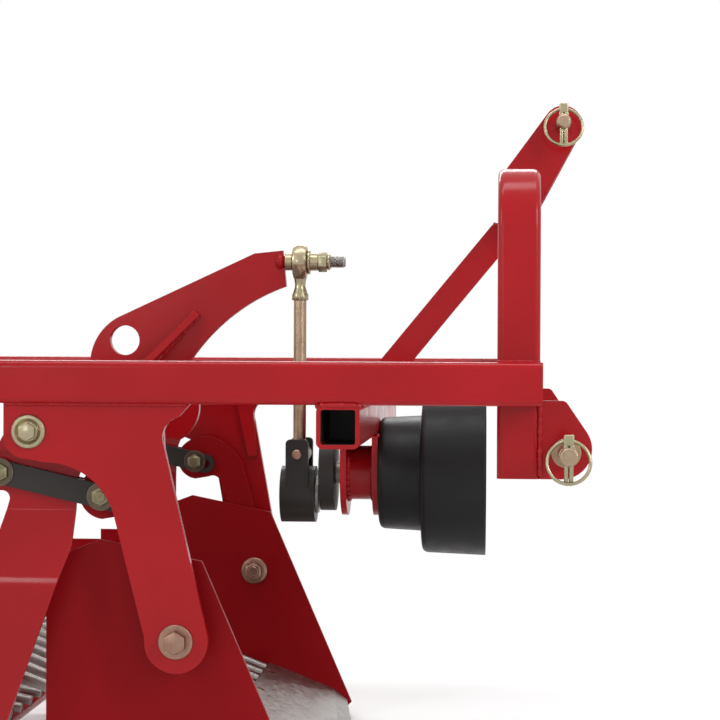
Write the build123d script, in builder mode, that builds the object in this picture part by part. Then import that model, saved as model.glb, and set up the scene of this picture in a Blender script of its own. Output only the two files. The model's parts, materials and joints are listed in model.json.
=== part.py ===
"""Tractor-mounted vibrating potato digger: frame, crank drive, rocker, share box and shaking sieve.

Frame of the model: +X points to the tractor, +Y to the left, +Z up, millimetres.
The ground is Z = 0 and the machine is symmetric about Y = 0, apart from the top-link pin and the
front edge of the left leg.
"""
from build123d import *
import math
import os

os.makedirs("parts", exist_ok=True)

# Square tube of the main frame
tube = 50.0
tube_wall = 5.0
tube_corner = 8.0

# Side rails and cross tubes
frame_width = 768.0
rail_top = 542.0
rail_length = 1018.0
rail_front = 486.0
drive_tube_set = 233.0

# Hitch hoop, its top-link ears and the brace behind it
hoop_set = 2.0
hoop_top = 772.0
hoop_drop = 135.5
hoop_bend = 47.0
ear_gap = 56.0
ear_thick = 10.0
ear_end_radius = 25.0
ear_lip = 25.0
ear_lip_thick = 6.5
ear_heel = 7.0
top_pin_d = 19.0
top_pin_ahead = 32.0
top_pin_rise = 79.0
top_pin_head_d = 32.0
top_pin_head = 8.0
top_pin_free = 42.0
brace_thick = 12.0
brace_width = 44.0
brace_top_set = 60.0
brace_foot_ahead = 3.0

# Lower hitch plates and pins, category 1
hitch_plate_thick = 10.0
hitch_plate_inset = 2.0
hitch_plate_nose = 35.0
hitch_plate_corner = 8.0
hitch_plate_top = 83.0
hitch_plate_reach = 23.0
hitch_pin_d = 22.0
hitch_seat = 69.5
hitch_tip = 19.0
hitch_tip_d = 20.5
hitch_tip_chamfer = 1.0
hitch_pin_ahead = 28.0
hitch_pin_rise = 31.0
hitch_collar_d = 34.0
hitch_collar = 9.5
pin_chamfer = 2.5

# Linchpins and their rings
linchpin_d = 10.5
linchpin_head_d = 14.0
linchpin_head = 14.0
linchpin_below = 21.0
linchpin_end = 12.0
ring_wire = 4.0
ring_outer = 52.0
ring_hole = 6.6

# Input shaft, its bearings and hangers
shaft_drop = 51.5
shaft_d = 30.0
spline_d = 34.9
spline_root_d = 29.0
spline_tooth = 8.0
spline_count = 6
spline_length = 95.0
spline_groove_w = 8.0
spline_groove_set = 34.0
stub_reach = 136.0
bearing_d = 62.0
bearing_width = 16.0
housing_d = 72.0
hanger_thick = 8.0
hanger_radius = 57.0
hanger_bore = 42.0
running_gap = 0.05

# Guard around the input shaft
guard_wall = 3.0
guard_small_r = 74.0
guard_small_taper = 3.0
guard_large_r = 109.0
guard_large_taper = 4.0
guard_step = 57.0
guard_length = 141.0
guard_screw_d = 8.0
guard_screw_head_d = 14.0
guard_screw_head = 5.0
guard_screw_circle = 92.0
guard_screw_count = 4
guard_throat_r = 30.0

# Crank, big end and connecting rod
crank_gap = 9.0
crank_disc_d = 102.0
crank_disc_t = 20.0
crank_throw = 29.5
crank_pin_gap = 3.0
crank_pin_d = 25.0
crank_shoulder_d = 50.0
crank_shoulder_t = 3.5
big_end_d = 75.0
big_end_width = 46.0
big_end_bore = 52.0
big_end_bearing_w = 32.0
clevis_width = 30.0
clevis_plate = 8.0
clevis_gap = 56.0
clevis_rise = 54.5
clevis_above_pin = 20.0
clevis_corner = 6.0
clevis_pin_d = 12.0
clevis_pin_head_d = 20.0
clevis_pin_head = 5.0
conrod_length = 257.0
conrod_d = 17.0
conrod_eye_d = 28.0
rod_end_d = 48.0
rod_end_width = 16.0
rod_end_neck_d = 21.0
rod_end_neck = 51.5
ball_d = 30.0
ball_width = 21.0
ball_gap = 0.1
side_gap = 0.5

# Rocker: arm, ribs, cross shaft, short levers and the stud for the rod end
rocker_reach = 277.0
rocker_drop = 32.8
rocker_thick = 12.0
rocker_eye_r = 34.0
rocker_hole_d = 40.0
rocker_hole_at = (40.0, 107.3)
rocker_nose_top = (-22.8, 15.1)
rocker_nose_back = (-61.2, 11.2)
rocker_nose_low = (-18.2, -33.1)
rocker_back_top = (36.9, 141.2)
rocker_back_mid = (9.3, 121.0)
rocker_back_low = (-7.1, 81.6)
rocker_belly_mid = (166.3, 123.5)
rocker_belly_low = (128.7, 78.6)
rocker_lobe_top = (141.5, 20.8)
rocker_lobe_mid = (136.5, -4.0)
rocker_lobe_low = (116.5, -26.0)
rocker_shaft_d = 48.0
rocker_journal_d = 30.0
rocker_washer_d = 40.0
rocker_washer_t = 4.0
rocker_rib_t = 9.0
rocker_rib_angle = 46.0
rocker_rib_reach = 201.0
rocker_rib_root = 62.0
rocker_rib_tip = 14.0
lever_back = 38.2
lever_down = 48.5
lever_eye_r = 20.0
lever_root_r = 30.0
stud_d = 16.0
stud_weld_length = 13.0
stud_shoulder_d = 23.0
stud_shoulder = 7.0
stud_length = 61.0
stud_washer_d = 42.0
stud_washer_t = 3.0
stud_nut_af = 24.0
stud_jam_nut = 12.0
stud_lock_nut = 15.5

# Leg plates and the pivots in them
leg_thick = 10.0
leg_inset = 10.0
leg_rear_set = 29.4
leg_shoulder_drop = 31.5
leg_end_r = 37.0
leg_cut_r = 82.7
leg_cut_ahead = 21.0
leg_cut_drop = 4.3
leg_cut_turn = 1.321
leg_front_set = 189.0
leg_knee_top = (176.0, 18.3)
leg_knee_mid = (160.5, 6.9)
leg_knee_low = (158.4, -14.3)
leg_foot_rear = (-37.0, 5.0)
leg_foot_front = (36.2, 8.0)
leg_corner = 26.0
leg_left_ahead = 11.5
leg_bar_thick = 8.0
leg_bar_top = (127.0, 155.0)
leg_bar_foot = (148.2, 161.0)
leg_bar_drop = 68.6

# Share box: pivot, side panels, levers, blade, carrier bar and fingers
share_pivot_ahead = 173.5
share_pivot_drop = 274.5
share_pivot_d = 16.0
share_washer_d = 40.0
share_washer_t = 3.0
share_pivot_head = 10.0
share_pivot_nut = 13.0
share_panel_t = 6.0
share_lever_t = 10.0
share_lever_boss = 27.0
lever_boss_top = (-18.3, 24.9)
lever_crown_mid = (15.5, 38.2)
lever_crown = (41.1, 30.2)
lever_bend = (59.4, 15.1)
lever_shoulder = (71.6, -2.0)
lever_foot_front = (5.6, 67.5)
lever_foot_rear = (-36.0, 72.0)
lever_throat_low = (39.5, -33.0)
lever_throat_mid = (33.5, -24.0)
lever_throat_top = (20.6, -23.5)
share_panel_peak_set = 96.0
share_panel_peak = 113.7
share_panel_corner = 89.3
share_panel_front = 24.5
share_panel_slope = 0.4355
share_panel_heel = 160.0
share_panel_foot = 75.0
share_toe = 20.0
blade_angle = 21.0
blade_thick = 10.0
blade_length = 175.0
blade_point = 45.0
blade_rear_ahead = 24.0
blade_rear_height = 78.0
blade_bevel = 26.0
blade_edge = 2.0
share_bar_w = 64.0
share_bar_t = 30.0
bar_ahead = 26.0
finger_d = 14.0
finger_count = 13
finger_length = 285.0
finger_edge = 38.0
share_bolt_d = 14.0
share_bolt_count = 5
share_bolt_edge = 66.0

# Links between the rocker levers and the share levers
link_width = 28.0
link_thick = 6.0
link_slot = 16.0
link_washer = 1.5
link_bolt_d = 12.0
link_nut_af = 19.0
link_head = 7.0
link_nut = 10.0
link_clear = 0.9
leg_clear = 1.0
link_ahead = 119.9
link_fall = 27.5

# Shaking sieve, its hangers and their bolts
sieve_sheet = 4.0
sieve_spread = 26.0
sieve_fold_top = 366.0
sieve_fold_low = 283.0
sieve_overhang = 80.0
sieve_front_set = 89.5
sieve_top = 377.0
sieve_brow_foot = 23.0
sieve_brow = (9.5, 47.0)
sieve_neck = 13.0
sieve_neck_r = 9.0
sieve_waist = (-1.8, -73.7)
sieve_waist_r = 20.0
sieve_step = 15.5
sieve_step_run = 31.5
sieve_wall_top = 259.0
sieve_nose = 54.0
sieve_nose_back = 3.2
sieve_lean = 0.34
sieve_floor_front = 108.0
sieve_floor_rise = 70.0
sieve_ear_r = 22.0
sieve_bar_d = 28.0
sieve_bar_places = (0.06, 0.5, 0.94)
sieve_rod_d = 12.0
sieve_rod_count = 15
sieve_rod_edge = 24.0
hanger_set = 100.0
hanger_length = 132.0
hanger_bolt_d = 16.0
hanger_clear = 0.9
hanger_bar_gap = 2.0
hanger_nut_af = 24.0
hanger_head = 10.0

# Rear parking stands
stand_tube = 40.0
stand_wall = 4.0
stand_gap = 0.5
stand_socket_wall = 5.0
stand_socket_height = 130.0
stand_socket_below = 30.0
stand_top = 60.0
stand_foot_length = 75.0
stand_foot_width = 66.0
stand_foot_t = 6.0
stand_bolt_d = 12.0
stand_bolt_head = 8.0
stand_bolt_af = 19.0
stand_bolt_gap = 0.3
seat_gap = 0.3

# Places worked out from the sizes above
SIDES = {"right": -1, "left": 1}
half_width = frame_width / 2
rail_y = half_width - tube / 2
rail_z = rail_top - tube / 2
rail_under = rail_top - tube
rail_rear = rail_front - rail_length
rail_inner = half_width - tube
hoop_y = rail_inner - tube / 2
hoop_front = rail_front - hoop_set
hoop_x = hoop_front - tube / 2
hoop_rear = hoop_front - tube
hoop_foot = rail_top - hoop_drop
top_pin_x = rail_front + top_pin_ahead
top_pin_z = hoop_top + top_pin_rise
ear_outer = ear_gap / 2 + ear_thick
hitch_plate_outer = rail_inner - hitch_plate_inset
hitch_plate_inner = hitch_plate_outer - hitch_plate_thick
hitch_shoulder = hitch_plate_outer + hitch_collar
hitch_seat_end = hitch_shoulder + hitch_seat
hitch_pin_end = hitch_seat_end + hitch_tip
hitch_pin_x = rail_front + hitch_pin_ahead
hitch_pin_z = hoop_foot + hitch_pin_rise
top_pin_end = ear_outer + top_pin_free
drive_x = rail_front - drive_tube_set
drive_front = drive_x + tube / 2
drive_rear = drive_x - tube / 2
drive_z = rail_under - tube / 2
drive_under = rail_under - tube
hanger_x = rail_rear + hanger_set
rear_tube_x = hanger_x - tube
shaft_z = drive_under - shaft_drop
crank_front = drive_rear - crank_gap
crank_rear = crank_front - crank_disc_t
big_end_front = crank_rear - crank_pin_gap - crank_shoulder_t - side_gap
big_end_rear = big_end_front - big_end_width
conrod_x = big_end_front - big_end_width / 2
big_end_z = shaft_z - crank_throw
clevis_z = big_end_z + clevis_rise
ball_z = clevis_z + conrod_length
rocker_x = conrod_x - rocker_reach
rocker_z = rail_under - rocker_drop
link_rear_x = rocker_x - lever_back
link_rear_z = rocker_z - lever_down
link_front_x = link_rear_x + link_ahead
link_front_z = link_rear_z - link_fall
leg_outer = half_width - leg_inset
leg_inner = leg_outer - leg_thick
link_out_face = leg_inner - leg_clear - link_head
link_out_inner = link_out_face - link_thick
lever_outer = link_out_inner - link_washer
share_lever_inner = lever_outer - share_lever_t
link_in_outer = share_lever_inner - link_washer
link_in_inner = link_in_outer - link_thick
sieve_inner = lever_outer - sieve_sheet
rocker_lever_outer = sieve_inner - seat_gap
rocker_lever_t = rocker_lever_outer - share_lever_inner
panel_outer = share_lever_inner
panel_inner = panel_outer - share_panel_t
share_x = rocker_x + share_pivot_ahead
share_z = rail_under - share_pivot_drop
sieve_wide = sieve_inner + sieve_spread
sieve_front = link_rear_x + sieve_front_set
sieve_rear = hanger_x - sieve_overhang
sieve_length = sieve_front - sieve_rear
hanger_outer = rail_inner - hanger_bar_gap
hanger_inner = hanger_outer - link_thick
hanger_low = rail_z - hanger_length


def keep(part, name):
    """Label a finished piece and write it to its own file."""
    part.label = name
    export_step(part, f"parts/{name}.step")


def wall(sign, inner, thick):
    """Side plane (local x = X, local y = Z) to be extruded by thick, from |y| = inner outwards."""
    return Plane.XZ.offset(inner if sign < 0 else -(inner + thick))


def shift(base, by):
    """Point of a side outline: a named place moved by a named offset."""
    return (base[0] + by[0], base[1] + by[1])


def through_bolt(sign, place, nut_face, head_face, size, across_flats, head, nut):
    """Hex bolt along Y: head outside head_face, nut inside nut_face, both as |y|."""
    with BuildPart() as bolt:
        with BuildSketch(wall(sign, nut_face - nut, head_face - nut_face + nut)):
            with Locations(place):
                Circle(size / 2)
        extrude(amount=head_face - nut_face + nut)
        for inner, thick in ((head_face, head), (nut_face - nut, nut)):
            with BuildSketch(wall(sign, inner, thick)):
                with Locations(place):
                    RegularPolygon(across_flats / 2, 6, major_radius=False)
            extrude(amount=thick)
    return bolt.part


def tube_section(size, thick, corner):
    """Square hollow section drawn in the active sketch."""
    RectangleRounded(size, size, corner)
    RectangleRounded(size - 2 * thick, size - 2 * thick, corner - thick, mode=Mode.SUBTRACT)


# Side rails, drilled for the hanger bolts
for side, sign in SIDES.items():
    with BuildPart() as side_rail:
        with BuildSketch(Plane.YZ.offset(rail_rear)):
            with Locations((sign * rail_y, rail_z)):
                tube_section(tube, tube_wall, tube_corner)
        extrude(amount=rail_length)
        with BuildSketch(wall(sign, rail_inner, tube)):
            with Locations((hanger_x, rail_z)):
                Circle(hanger_bolt_d / 2)
        extrude(amount=tube, mode=Mode.SUBTRACT)
    keep(side_rail.part, f"side_rail_{side}")

# Cross tubes under the rails: the open-ended drive tube and the rear tube
for name, place_x in (("drive_cross_tube", drive_x), ("rear_cross_tube", rear_tube_x)):
    with BuildPart() as cross_tube:
        with BuildSketch(Plane.XZ):
            with Locations((place_x, drive_z)):
                tube_section(tube, tube_wall, tube_corner)
        extrude(amount=half_width, both=True)
    keep(cross_tube.part, name)

# Hitch hoop bent from one length of the same tube
with BuildPart() as hitch_hoop:
    with BuildLine(Plane.YZ.offset(hoop_x)) as hoop_path:
        FilletPolyline(
            (-hoop_y, hoop_foot),
            (-hoop_y, hoop_top - tube / 2),
            (hoop_y, hoop_top - tube / 2),
            (hoop_y, hoop_foot),
            radius=hoop_bend,
        )
    with BuildSketch(Plane.XY.offset(hoop_foot)):
        with Locations((hoop_x, -hoop_y)):
            tube_section(tube, tube_wall, tube_corner)
    sweep(path=hoop_path.wire())
keep(hitch_hoop.part, "hitch_hoop")

# Top-link ears, seated on the top and front of the hoop
with BuildPart() as top_link_ears:
    for sign in SIDES.values():
        with BuildSketch(wall(sign, ear_gap / 2, ear_thick)):
            with Locations((top_pin_x, top_pin_z)):
                Circle(ear_end_radius)
            with BuildLine():
                Polyline(
                    (hoop_rear, hoop_top + ear_heel),
                    (hoop_rear, hoop_top),
                    (hoop_front, hoop_top - ear_lip),
                    (hoop_front + ear_lip_thick, hoop_top - ear_lip),
                    (hoop_front + ear_lip_thick, hoop_top),
                    close=True,
                )
            make_face()
            make_hull()
            with Locations((hoop_x, hoop_top - tube / 2)):
                Rectangle(tube, tube, mode=Mode.SUBTRACT)
            with Locations((top_pin_x, top_pin_z)):
                Circle(top_pin_d / 2 + running_gap, mode=Mode.SUBTRACT)
        extrude(amount=ear_thick)
keep(top_link_ears.part, "top_link_ears")

# Brace from under the hoop down to the drive tube
with BuildPart() as mast_brace:
    with BuildSketch(Plane.XZ):
        with BuildLine():
            brace_top_x = rail_front - brace_top_set
            brace_foot_x = drive_front - brace_width + brace_foot_ahead
            Polyline(
                (brace_top_x, hoop_top - tube),
                (brace_top_x + brace_width, hoop_top - tube),
                (brace_foot_x + brace_width, rail_under),
                (brace_foot_x, rail_under),
                close=True,
            )
        make_face()
    extrude(amount=brace_thick / 2, both=True)
keep(mast_brace.part, "mast_brace")

# Lower hitch plates, welded to the front of the hoop's legs
plate_height = hitch_plate_top + hitch_plate_corner
with BuildPart() as lower_hitch_plates:
    for sign in SIDES.values():
        with BuildSketch(wall(sign, hitch_plate_inner, hitch_plate_thick)):
            with Locations((rail_front + hitch_plate_reach, hoop_foot + hitch_plate_nose)):
                Circle(hitch_plate_nose)
            with Locations((rail_front + hitch_plate_reach, hoop_foot + hitch_plate_top)):
                Circle(hitch_plate_corner)
            with Locations((rail_front, hoop_foot + plate_height / 2)):
                Rectangle(2 * hitch_plate_corner, plate_height)
            make_hull()
            with Locations((hoop_x, hoop_foot + plate_height / 2)):
                Rectangle(tube, plate_height, mode=Mode.SUBTRACT)
            with Locations((hitch_pin_x, hitch_pin_z)):
                Circle(hitch_pin_d / 2, mode=Mode.SUBTRACT)
        extrude(amount=hitch_plate_thick)
keep(lower_hitch_plates.part, "lower_hitch_plates")

# Lower hitch pins: collar, seat for the link's ball, and a thinner cross-drilled tip for the linchpin
pin_drill_y = hitch_pin_end - linchpin_end
with BuildPart() as hitch_pins:
    for sign in SIDES.values():
        with BuildSketch(wall(sign, hitch_plate_inner, hitch_seat_end - hitch_plate_inner)):
            with Locations((hitch_pin_x, hitch_pin_z)):
                Circle(hitch_pin_d / 2)
        extrude(amount=hitch_seat_end - hitch_plate_inner)
        with BuildSketch(wall(sign, hitch_seat_end, hitch_tip)):
            with Locations((hitch_pin_x, hitch_pin_z)):
                Circle(hitch_tip_d / 2)
        extrude(amount=hitch_tip)
        tip = hitch_pins.faces().sort_by(Axis.Y)[0 if sign < 0 else -1]
        chamfer(tip.edges(), hitch_tip_chamfer)
        with BuildSketch(wall(sign, hitch_plate_outer, hitch_shoulder - hitch_plate_outer)):
            with Locations((hitch_pin_x, hitch_pin_z)):
                Circle(hitch_collar_d / 2)
        extrude(amount=hitch_shoulder - hitch_plate_outer)
    with BuildSketch(Plane.XY.offset(hitch_pin_z)):
        with Locations((hitch_pin_x, -pin_drill_y), (hitch_pin_x, pin_drill_y)):
            Circle(linchpin_d / 2 + running_gap)
    extrude(amount=hitch_pin_d, both=True, mode=Mode.SUBTRACT)
keep(hitch_pins.part, "hitch_pins")

# Top-link pin, headed on the left and cross-drilled on the right
with BuildPart() as top_link_pin:
    with BuildSketch(Plane.XZ.offset(-ear_outer - top_pin_head)):
        with Locations((top_pin_x, top_pin_z)):
            Circle(top_pin_d / 2)
    extrude(amount=ear_outer + top_pin_head + top_pin_end)
    chamfer(top_link_pin.faces().sort_by(Axis.Y)[0].edges(), pin_chamfer)
    with BuildSketch(Plane.XZ.offset(-ear_outer - top_pin_head)):
        with Locations((top_pin_x, top_pin_z)):
            Circle(top_pin_head_d / 2)
    extrude(amount=top_pin_head)
    with BuildSketch(Plane.XY.offset(top_pin_z)):
        with Locations((top_pin_x, -(top_pin_end - linchpin_end))):
            Circle(linchpin_d / 2 + running_gap)
    extrude(amount=top_pin_d, both=True, mode=Mode.SUBTRACT)
keep(top_link_pin.part, "top_link_pin")

# Linchpins through the three pins, each with a wire ring through its head
ring_r = (ring_outer - ring_wire) / 2
linchpin_places = {
    "top": (top_pin_x, -(top_pin_end - linchpin_end), top_pin_z, top_pin_d / 2, -1),
    "right": (hitch_pin_x, -(hitch_pin_end - linchpin_end), hitch_pin_z, hitch_tip_d / 2, -1),
    "left": (hitch_pin_x, hitch_pin_end - linchpin_end, hitch_pin_z, hitch_tip_d / 2, 1),
}
for name, (pin_x, pin_y, pin_z, pin_r, out) in linchpin_places.items():
    head_z = pin_z + pin_r + seat_gap
    hole_z = head_z + linchpin_head / 2
    with BuildPart() as linchpin:
        with BuildSketch(Plane.XY.offset(pin_z - pin_r - linchpin_below)):
            with Locations((pin_x, pin_y)):
                Circle(linchpin_d / 2)
        extrude(amount=head_z - pin_z + pin_r + linchpin_below)
        chamfer(linchpin.faces().sort_by(Axis.Z)[0].edges(), pin_chamfer)
        with BuildSketch(Plane.XY.offset(head_z)):
            with Locations((pin_x, pin_y)):
                Circle(linchpin_head_d / 2)
        extrude(amount=linchpin_head)
        chamfer(linchpin.faces().sort_by(Axis.Z)[-1].edges(), pin_chamfer)
        with BuildSketch(Plane.YZ.offset(pin_x)):
            with Locations((pin_y, hole_z)):
                Circle(ring_hole / 2)
        extrude(amount=linchpin_head_d, both=True, mode=Mode.SUBTRACT)
    keep(linchpin.part, f"linchpin_{name}")
    lean = out * math.asin((linchpin_d + ring_wire + 2 * seat_gap) / 2 / (2 * ring_r))
    hang = Plane((pin_x, pin_y, hole_z), (1, 0, 0), (0, -math.cos(lean), -math.sin(lean)))
    with BuildPart() as ring:
        with Locations(hang):
            with Locations((0, -ring_r, 0)):
                Torus(ring_r, ring_wire / 2)
    keep(ring.part, f"linchpin_ring_{name}")

# Two plates under the drive tube that hold the bearing housing
with BuildPart() as bearing_hangers:
    for plate_x in (drive_rear, drive_front - hanger_thick):
        with BuildSketch(Plane.YZ.offset(plate_x)):
            with Locations((0, shaft_z)):
                Circle(hanger_radius)
            with Locations((0, shaft_z + shaft_drop / 2)):
                Rectangle(2 * hanger_radius, shaft_drop)
            with Locations((0, drive_z)):
                Rectangle(2 * hanger_radius, tube, mode=Mode.SUBTRACT)
            with Locations((0, shaft_z)):
                Circle(hanger_bore / 2, mode=Mode.SUBTRACT)
        extrude(amount=hanger_thick)
    with BuildSketch(Plane.YZ.offset(drive_front - hanger_thick)):
        with Locations((0, shaft_z)):
            with PolarLocations(guard_screw_circle / 2, guard_screw_count, 45):
                Circle(guard_screw_d / 2)
    extrude(amount=hanger_thick, mode=Mode.SUBTRACT)
keep(bearing_hangers.part, "bearing_hangers")

# Bearing housing between the plates and the two sealed bearings in it
housing_rear = drive_rear + hanger_thick
housing_front = drive_front - hanger_thick
with BuildPart() as bearing_housing:
    with BuildSketch(Plane.YZ.offset(housing_rear)):
        with Locations((0, shaft_z)):
            Circle(housing_d / 2)
            Circle(bearing_d / 2, mode=Mode.SUBTRACT)
    extrude(amount=housing_front - housing_rear)
keep(bearing_housing.part, "bearing_housing")

with BuildPart() as shaft_bearings:
    for bearing_x in (housing_rear, housing_front - bearing_width):
        with BuildSketch(Plane.YZ.offset(bearing_x)):
            with Locations((0, shaft_z)):
                Circle(bearing_d / 2)
                Circle(shaft_d / 2 + running_gap, mode=Mode.SUBTRACT)
        extrude(amount=bearing_width)
keep(shaft_bearings.part, "shaft_bearings")

# Input shaft: plain through the bearings, splined at the tractor end
stub_end = drive_front + stub_reach
spline_start = stub_end - spline_length
with BuildPart() as input_shaft:
    with BuildSketch(Plane.YZ.offset(crank_rear)):
        with Locations((0, shaft_z)):
            Circle(shaft_d / 2)
    extrude(amount=spline_start - crank_rear)
    with BuildSketch(Plane.YZ.offset(spline_start)):
        with Locations((0, shaft_z)):
            with PolarLocations(0, spline_count // 2):
                Rectangle(spline_d + spline_tooth, spline_tooth)
            Circle(spline_d / 2, mode=Mode.INTERSECT)
            Circle(spline_root_d / 2)
    extrude(amount=spline_length)
    with BuildSketch(Plane.YZ.offset(stub_end - spline_groove_set)):
        with Locations((0, shaft_z)):
            Circle(spline_d)
            Circle(spline_root_d / 2, mode=Mode.SUBTRACT)
    extrude(amount=spline_groove_w, mode=Mode.SUBTRACT)
keep(input_shaft.part, "input_shaft")

# Stepped guard, open towards the tractor, and its screws
guard_axis = Axis((0, 0, shaft_z), (1, 0, 0))
guard_rim = drive_front + guard_length
guard_shoulder = drive_front + guard_step
with BuildPart() as pto_guard:
    with BuildSketch(Plane.XZ):
        with BuildLine():
            Polyline(
                (drive_front, shaft_z + guard_throat_r),
                (drive_front, shaft_z + guard_small_r),
                (guard_shoulder, shaft_z + guard_small_r + guard_small_taper),
                (guard_shoulder, shaft_z + guard_large_r - guard_large_taper),
                (guard_rim, shaft_z + guard_large_r),
                (guard_rim, shaft_z + guard_large_r - guard_wall),
                (guard_shoulder + guard_wall, shaft_z + guard_large_r - guard_large_taper - guard_wall),
                (guard_shoulder + guard_wall, shaft_z + guard_small_r + guard_small_taper - guard_wall),
                (drive_front + guard_wall, shaft_z + guard_small_r - guard_wall),
                (drive_front + guard_wall, shaft_z + guard_throat_r),
                close=True,
            )
        make_face()
    revolve(axis=guard_axis)
    with BuildSketch(Plane.YZ.offset(drive_front)):
        with Locations((0, shaft_z)):
            with PolarLocations(guard_screw_circle / 2, guard_screw_count, 45):
                Circle(guard_screw_d / 2)
    extrude(amount=guard_wall, mode=Mode.SUBTRACT)
keep(pto_guard.part, "pto_guard")

with BuildPart() as guard_screws:
    with BuildSketch(Plane.YZ.offset(drive_front - hanger_thick)):
        with Locations((0, shaft_z)):
            with PolarLocations(guard_screw_circle / 2, guard_screw_count, 45):
                Circle(guard_screw_d / 2)
    extrude(amount=hanger_thick + guard_wall)
    with BuildSketch(Plane.YZ.offset(drive_front + guard_wall)):
        with Locations((0, shaft_z)):
            with PolarLocations(guard_screw_circle / 2, guard_screw_count, 45):
                Circle(guard_screw_head_d / 2)
    extrude(amount=guard_screw_head)
keep(guard_screws.part, "guard_screws")

# Crank disc on the rear end of the shaft
with BuildPart() as crank_disc:
    with BuildSketch(Plane.YZ.offset(crank_rear)):
        with Locations((0, shaft_z)):
            Circle(crank_disc_d / 2)
            Circle(shaft_d / 2, mode=Mode.SUBTRACT)
    extrude(amount=crank_disc_t)
keep(crank_disc.part, "crank_disc")

# Crank pin with its shoulder, carried in the big end
bearing_rear = conrod_x - big_end_bearing_w / 2
with BuildPart() as crank_pin:
    with BuildSketch(Plane.YZ.offset(bearing_rear)):
        with Locations((0, big_end_z)):
            Circle(crank_pin_d / 2)
    extrude(amount=big_end_front + side_gap - bearing_rear)
    with BuildSketch(Plane.YZ.offset(big_end_front + side_gap)):
        with Locations((0, big_end_z)):
            Circle(crank_shoulder_d / 2)
    extrude(amount=crank_shoulder_t)
keep(crank_pin.part, "crank_pin")

with BuildPart() as big_end_bearing:
    with BuildSketch(Plane.YZ.offset(bearing_rear)):
        with Locations((0, big_end_z)):
            Circle(big_end_bore / 2)
            Circle(crank_pin_d / 2, mode=Mode.SUBTRACT)
    extrude(amount=big_end_bearing_w)
keep(big_end_bearing.part, "big_end_bearing")

# Big end: bearing barrel with two clevis plates for the connecting rod
with BuildPart() as big_end_housing:
    with BuildSketch(Plane.YZ.offset(big_end_rear)):
        with Locations((0, big_end_z)):
            Circle(big_end_d / 2)
    extrude(amount=big_end_width)
    for sign in SIDES.values():
        with BuildSketch(wall(sign, clevis_gap / 2, clevis_plate)) as clevis_sketch:
            with Locations((conrod_x, big_end_z)):
                Rectangle(clevis_width, clevis_rise + clevis_above_pin, align=(Align.CENTER, Align.MIN))
            fillet(clevis_sketch.vertices().group_by(Axis.Y)[-1], clevis_corner)
        extrude(amount=clevis_plate)
    with BuildSketch(Plane.YZ.offset(big_end_rear)):
        with Locations((0, big_end_z)):
            Circle(big_end_bore / 2)
    extrude(amount=big_end_width, mode=Mode.SUBTRACT)
    with BuildSketch(Plane.XZ):
        with Locations((conrod_x, clevis_z)):
            Circle(clevis_pin_d / 2)
    extrude(amount=clevis_gap, both=True, mode=Mode.SUBTRACT)
keep(big_end_housing.part, "big_end_housing")

clevis_outer = clevis_gap / 2 + clevis_plate
with BuildPart() as clevis_pin:
    with BuildSketch(Plane.XZ.offset(-clevis_outer)):
        with Locations((conrod_x, clevis_z)):
            Circle(clevis_pin_d / 2)
    extrude(amount=2 * clevis_outer)
    for sign in SIDES.values():
        with BuildSketch(wall(sign, clevis_outer, clevis_pin_head)):
            with Locations((conrod_x, clevis_z)):
                Circle(clevis_pin_head_d / 2)
        extrude(amount=clevis_pin_head)
keep(clevis_pin.part, "clevis_pin")

# Connecting rod with a cross eye at its foot, and the rod end on its top
rod_top = ball_z - rod_end_neck
with BuildPart() as connecting_rod:
    with BuildSketch(Plane.XY.offset(clevis_z)):
        with Locations((conrod_x, 0)):
            Circle(conrod_d / 2)
    extrude(amount=rod_top - clevis_z)
    with BuildSketch(Plane.XZ):
        with Locations((conrod_x, clevis_z)):
            Circle(conrod_eye_d / 2)
    extrude(amount=clevis_gap / 2 - side_gap, both=True)
    with BuildSketch(Plane.XZ):
        with Locations((conrod_x, clevis_z)):
            Circle(clevis_pin_d / 2 + running_gap)
    extrude(amount=clevis_gap, both=True, mode=Mode.SUBTRACT)
keep(connecting_rod.part, "connecting_rod")

with BuildPart() as rod_end_housing:
    with BuildSketch(Plane.YZ.offset(conrod_x)):
        with Locations((0, ball_z)):
            Circle(rod_end_d / 2)
    extrude(amount=rod_end_width / 2, both=True)
    with BuildSketch(Plane.XY.offset(rod_top)):
        with Locations((conrod_x, 0)):
            Circle(rod_end_neck_d / 2)
    extrude(amount=rod_end_neck - ball_d / 2)
    with Locations((conrod_x, 0, ball_z)):
        Sphere(ball_d / 2 + ball_gap, mode=Mode.SUBTRACT)
keep(rod_end_housing.part, "rod_end_housing")

with BuildPart() as rod_end_ball:
    with Locations((conrod_x, 0, ball_z)):
        Sphere(ball_d / 2)
        Box(ball_width, ball_d, ball_d, mode=Mode.INTERSECT)
    with BuildSketch(Plane.YZ.offset(conrod_x)):
        with Locations((0, ball_z)):
            Circle(stud_d / 2)
    extrude(amount=ball_width, both=True, mode=Mode.SUBTRACT)
keep(rod_end_ball.part, "rod_end_ball")

# Stud on the rocker's nose, with a shoulder, a washer and two nuts
ball_rear = conrod_x - ball_width / 2
ball_front = conrod_x + ball_width / 2
stud_rear = ball_rear - stud_shoulder - stud_weld_length
with BuildPart() as rocker_stud:
    with BuildSketch(Plane.YZ.offset(stud_rear)):
        with Locations((0, ball_z)):
            Circle(stud_d / 2)
    extrude(amount=conrod_x + stud_length - stud_rear)
    with BuildSketch(Plane.YZ.offset(ball_rear - stud_shoulder)):
        with Locations((0, ball_z)):
            Circle(stud_shoulder_d / 2)
    extrude(amount=stud_shoulder)
keep(rocker_stud.part, "rocker_stud")

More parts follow.
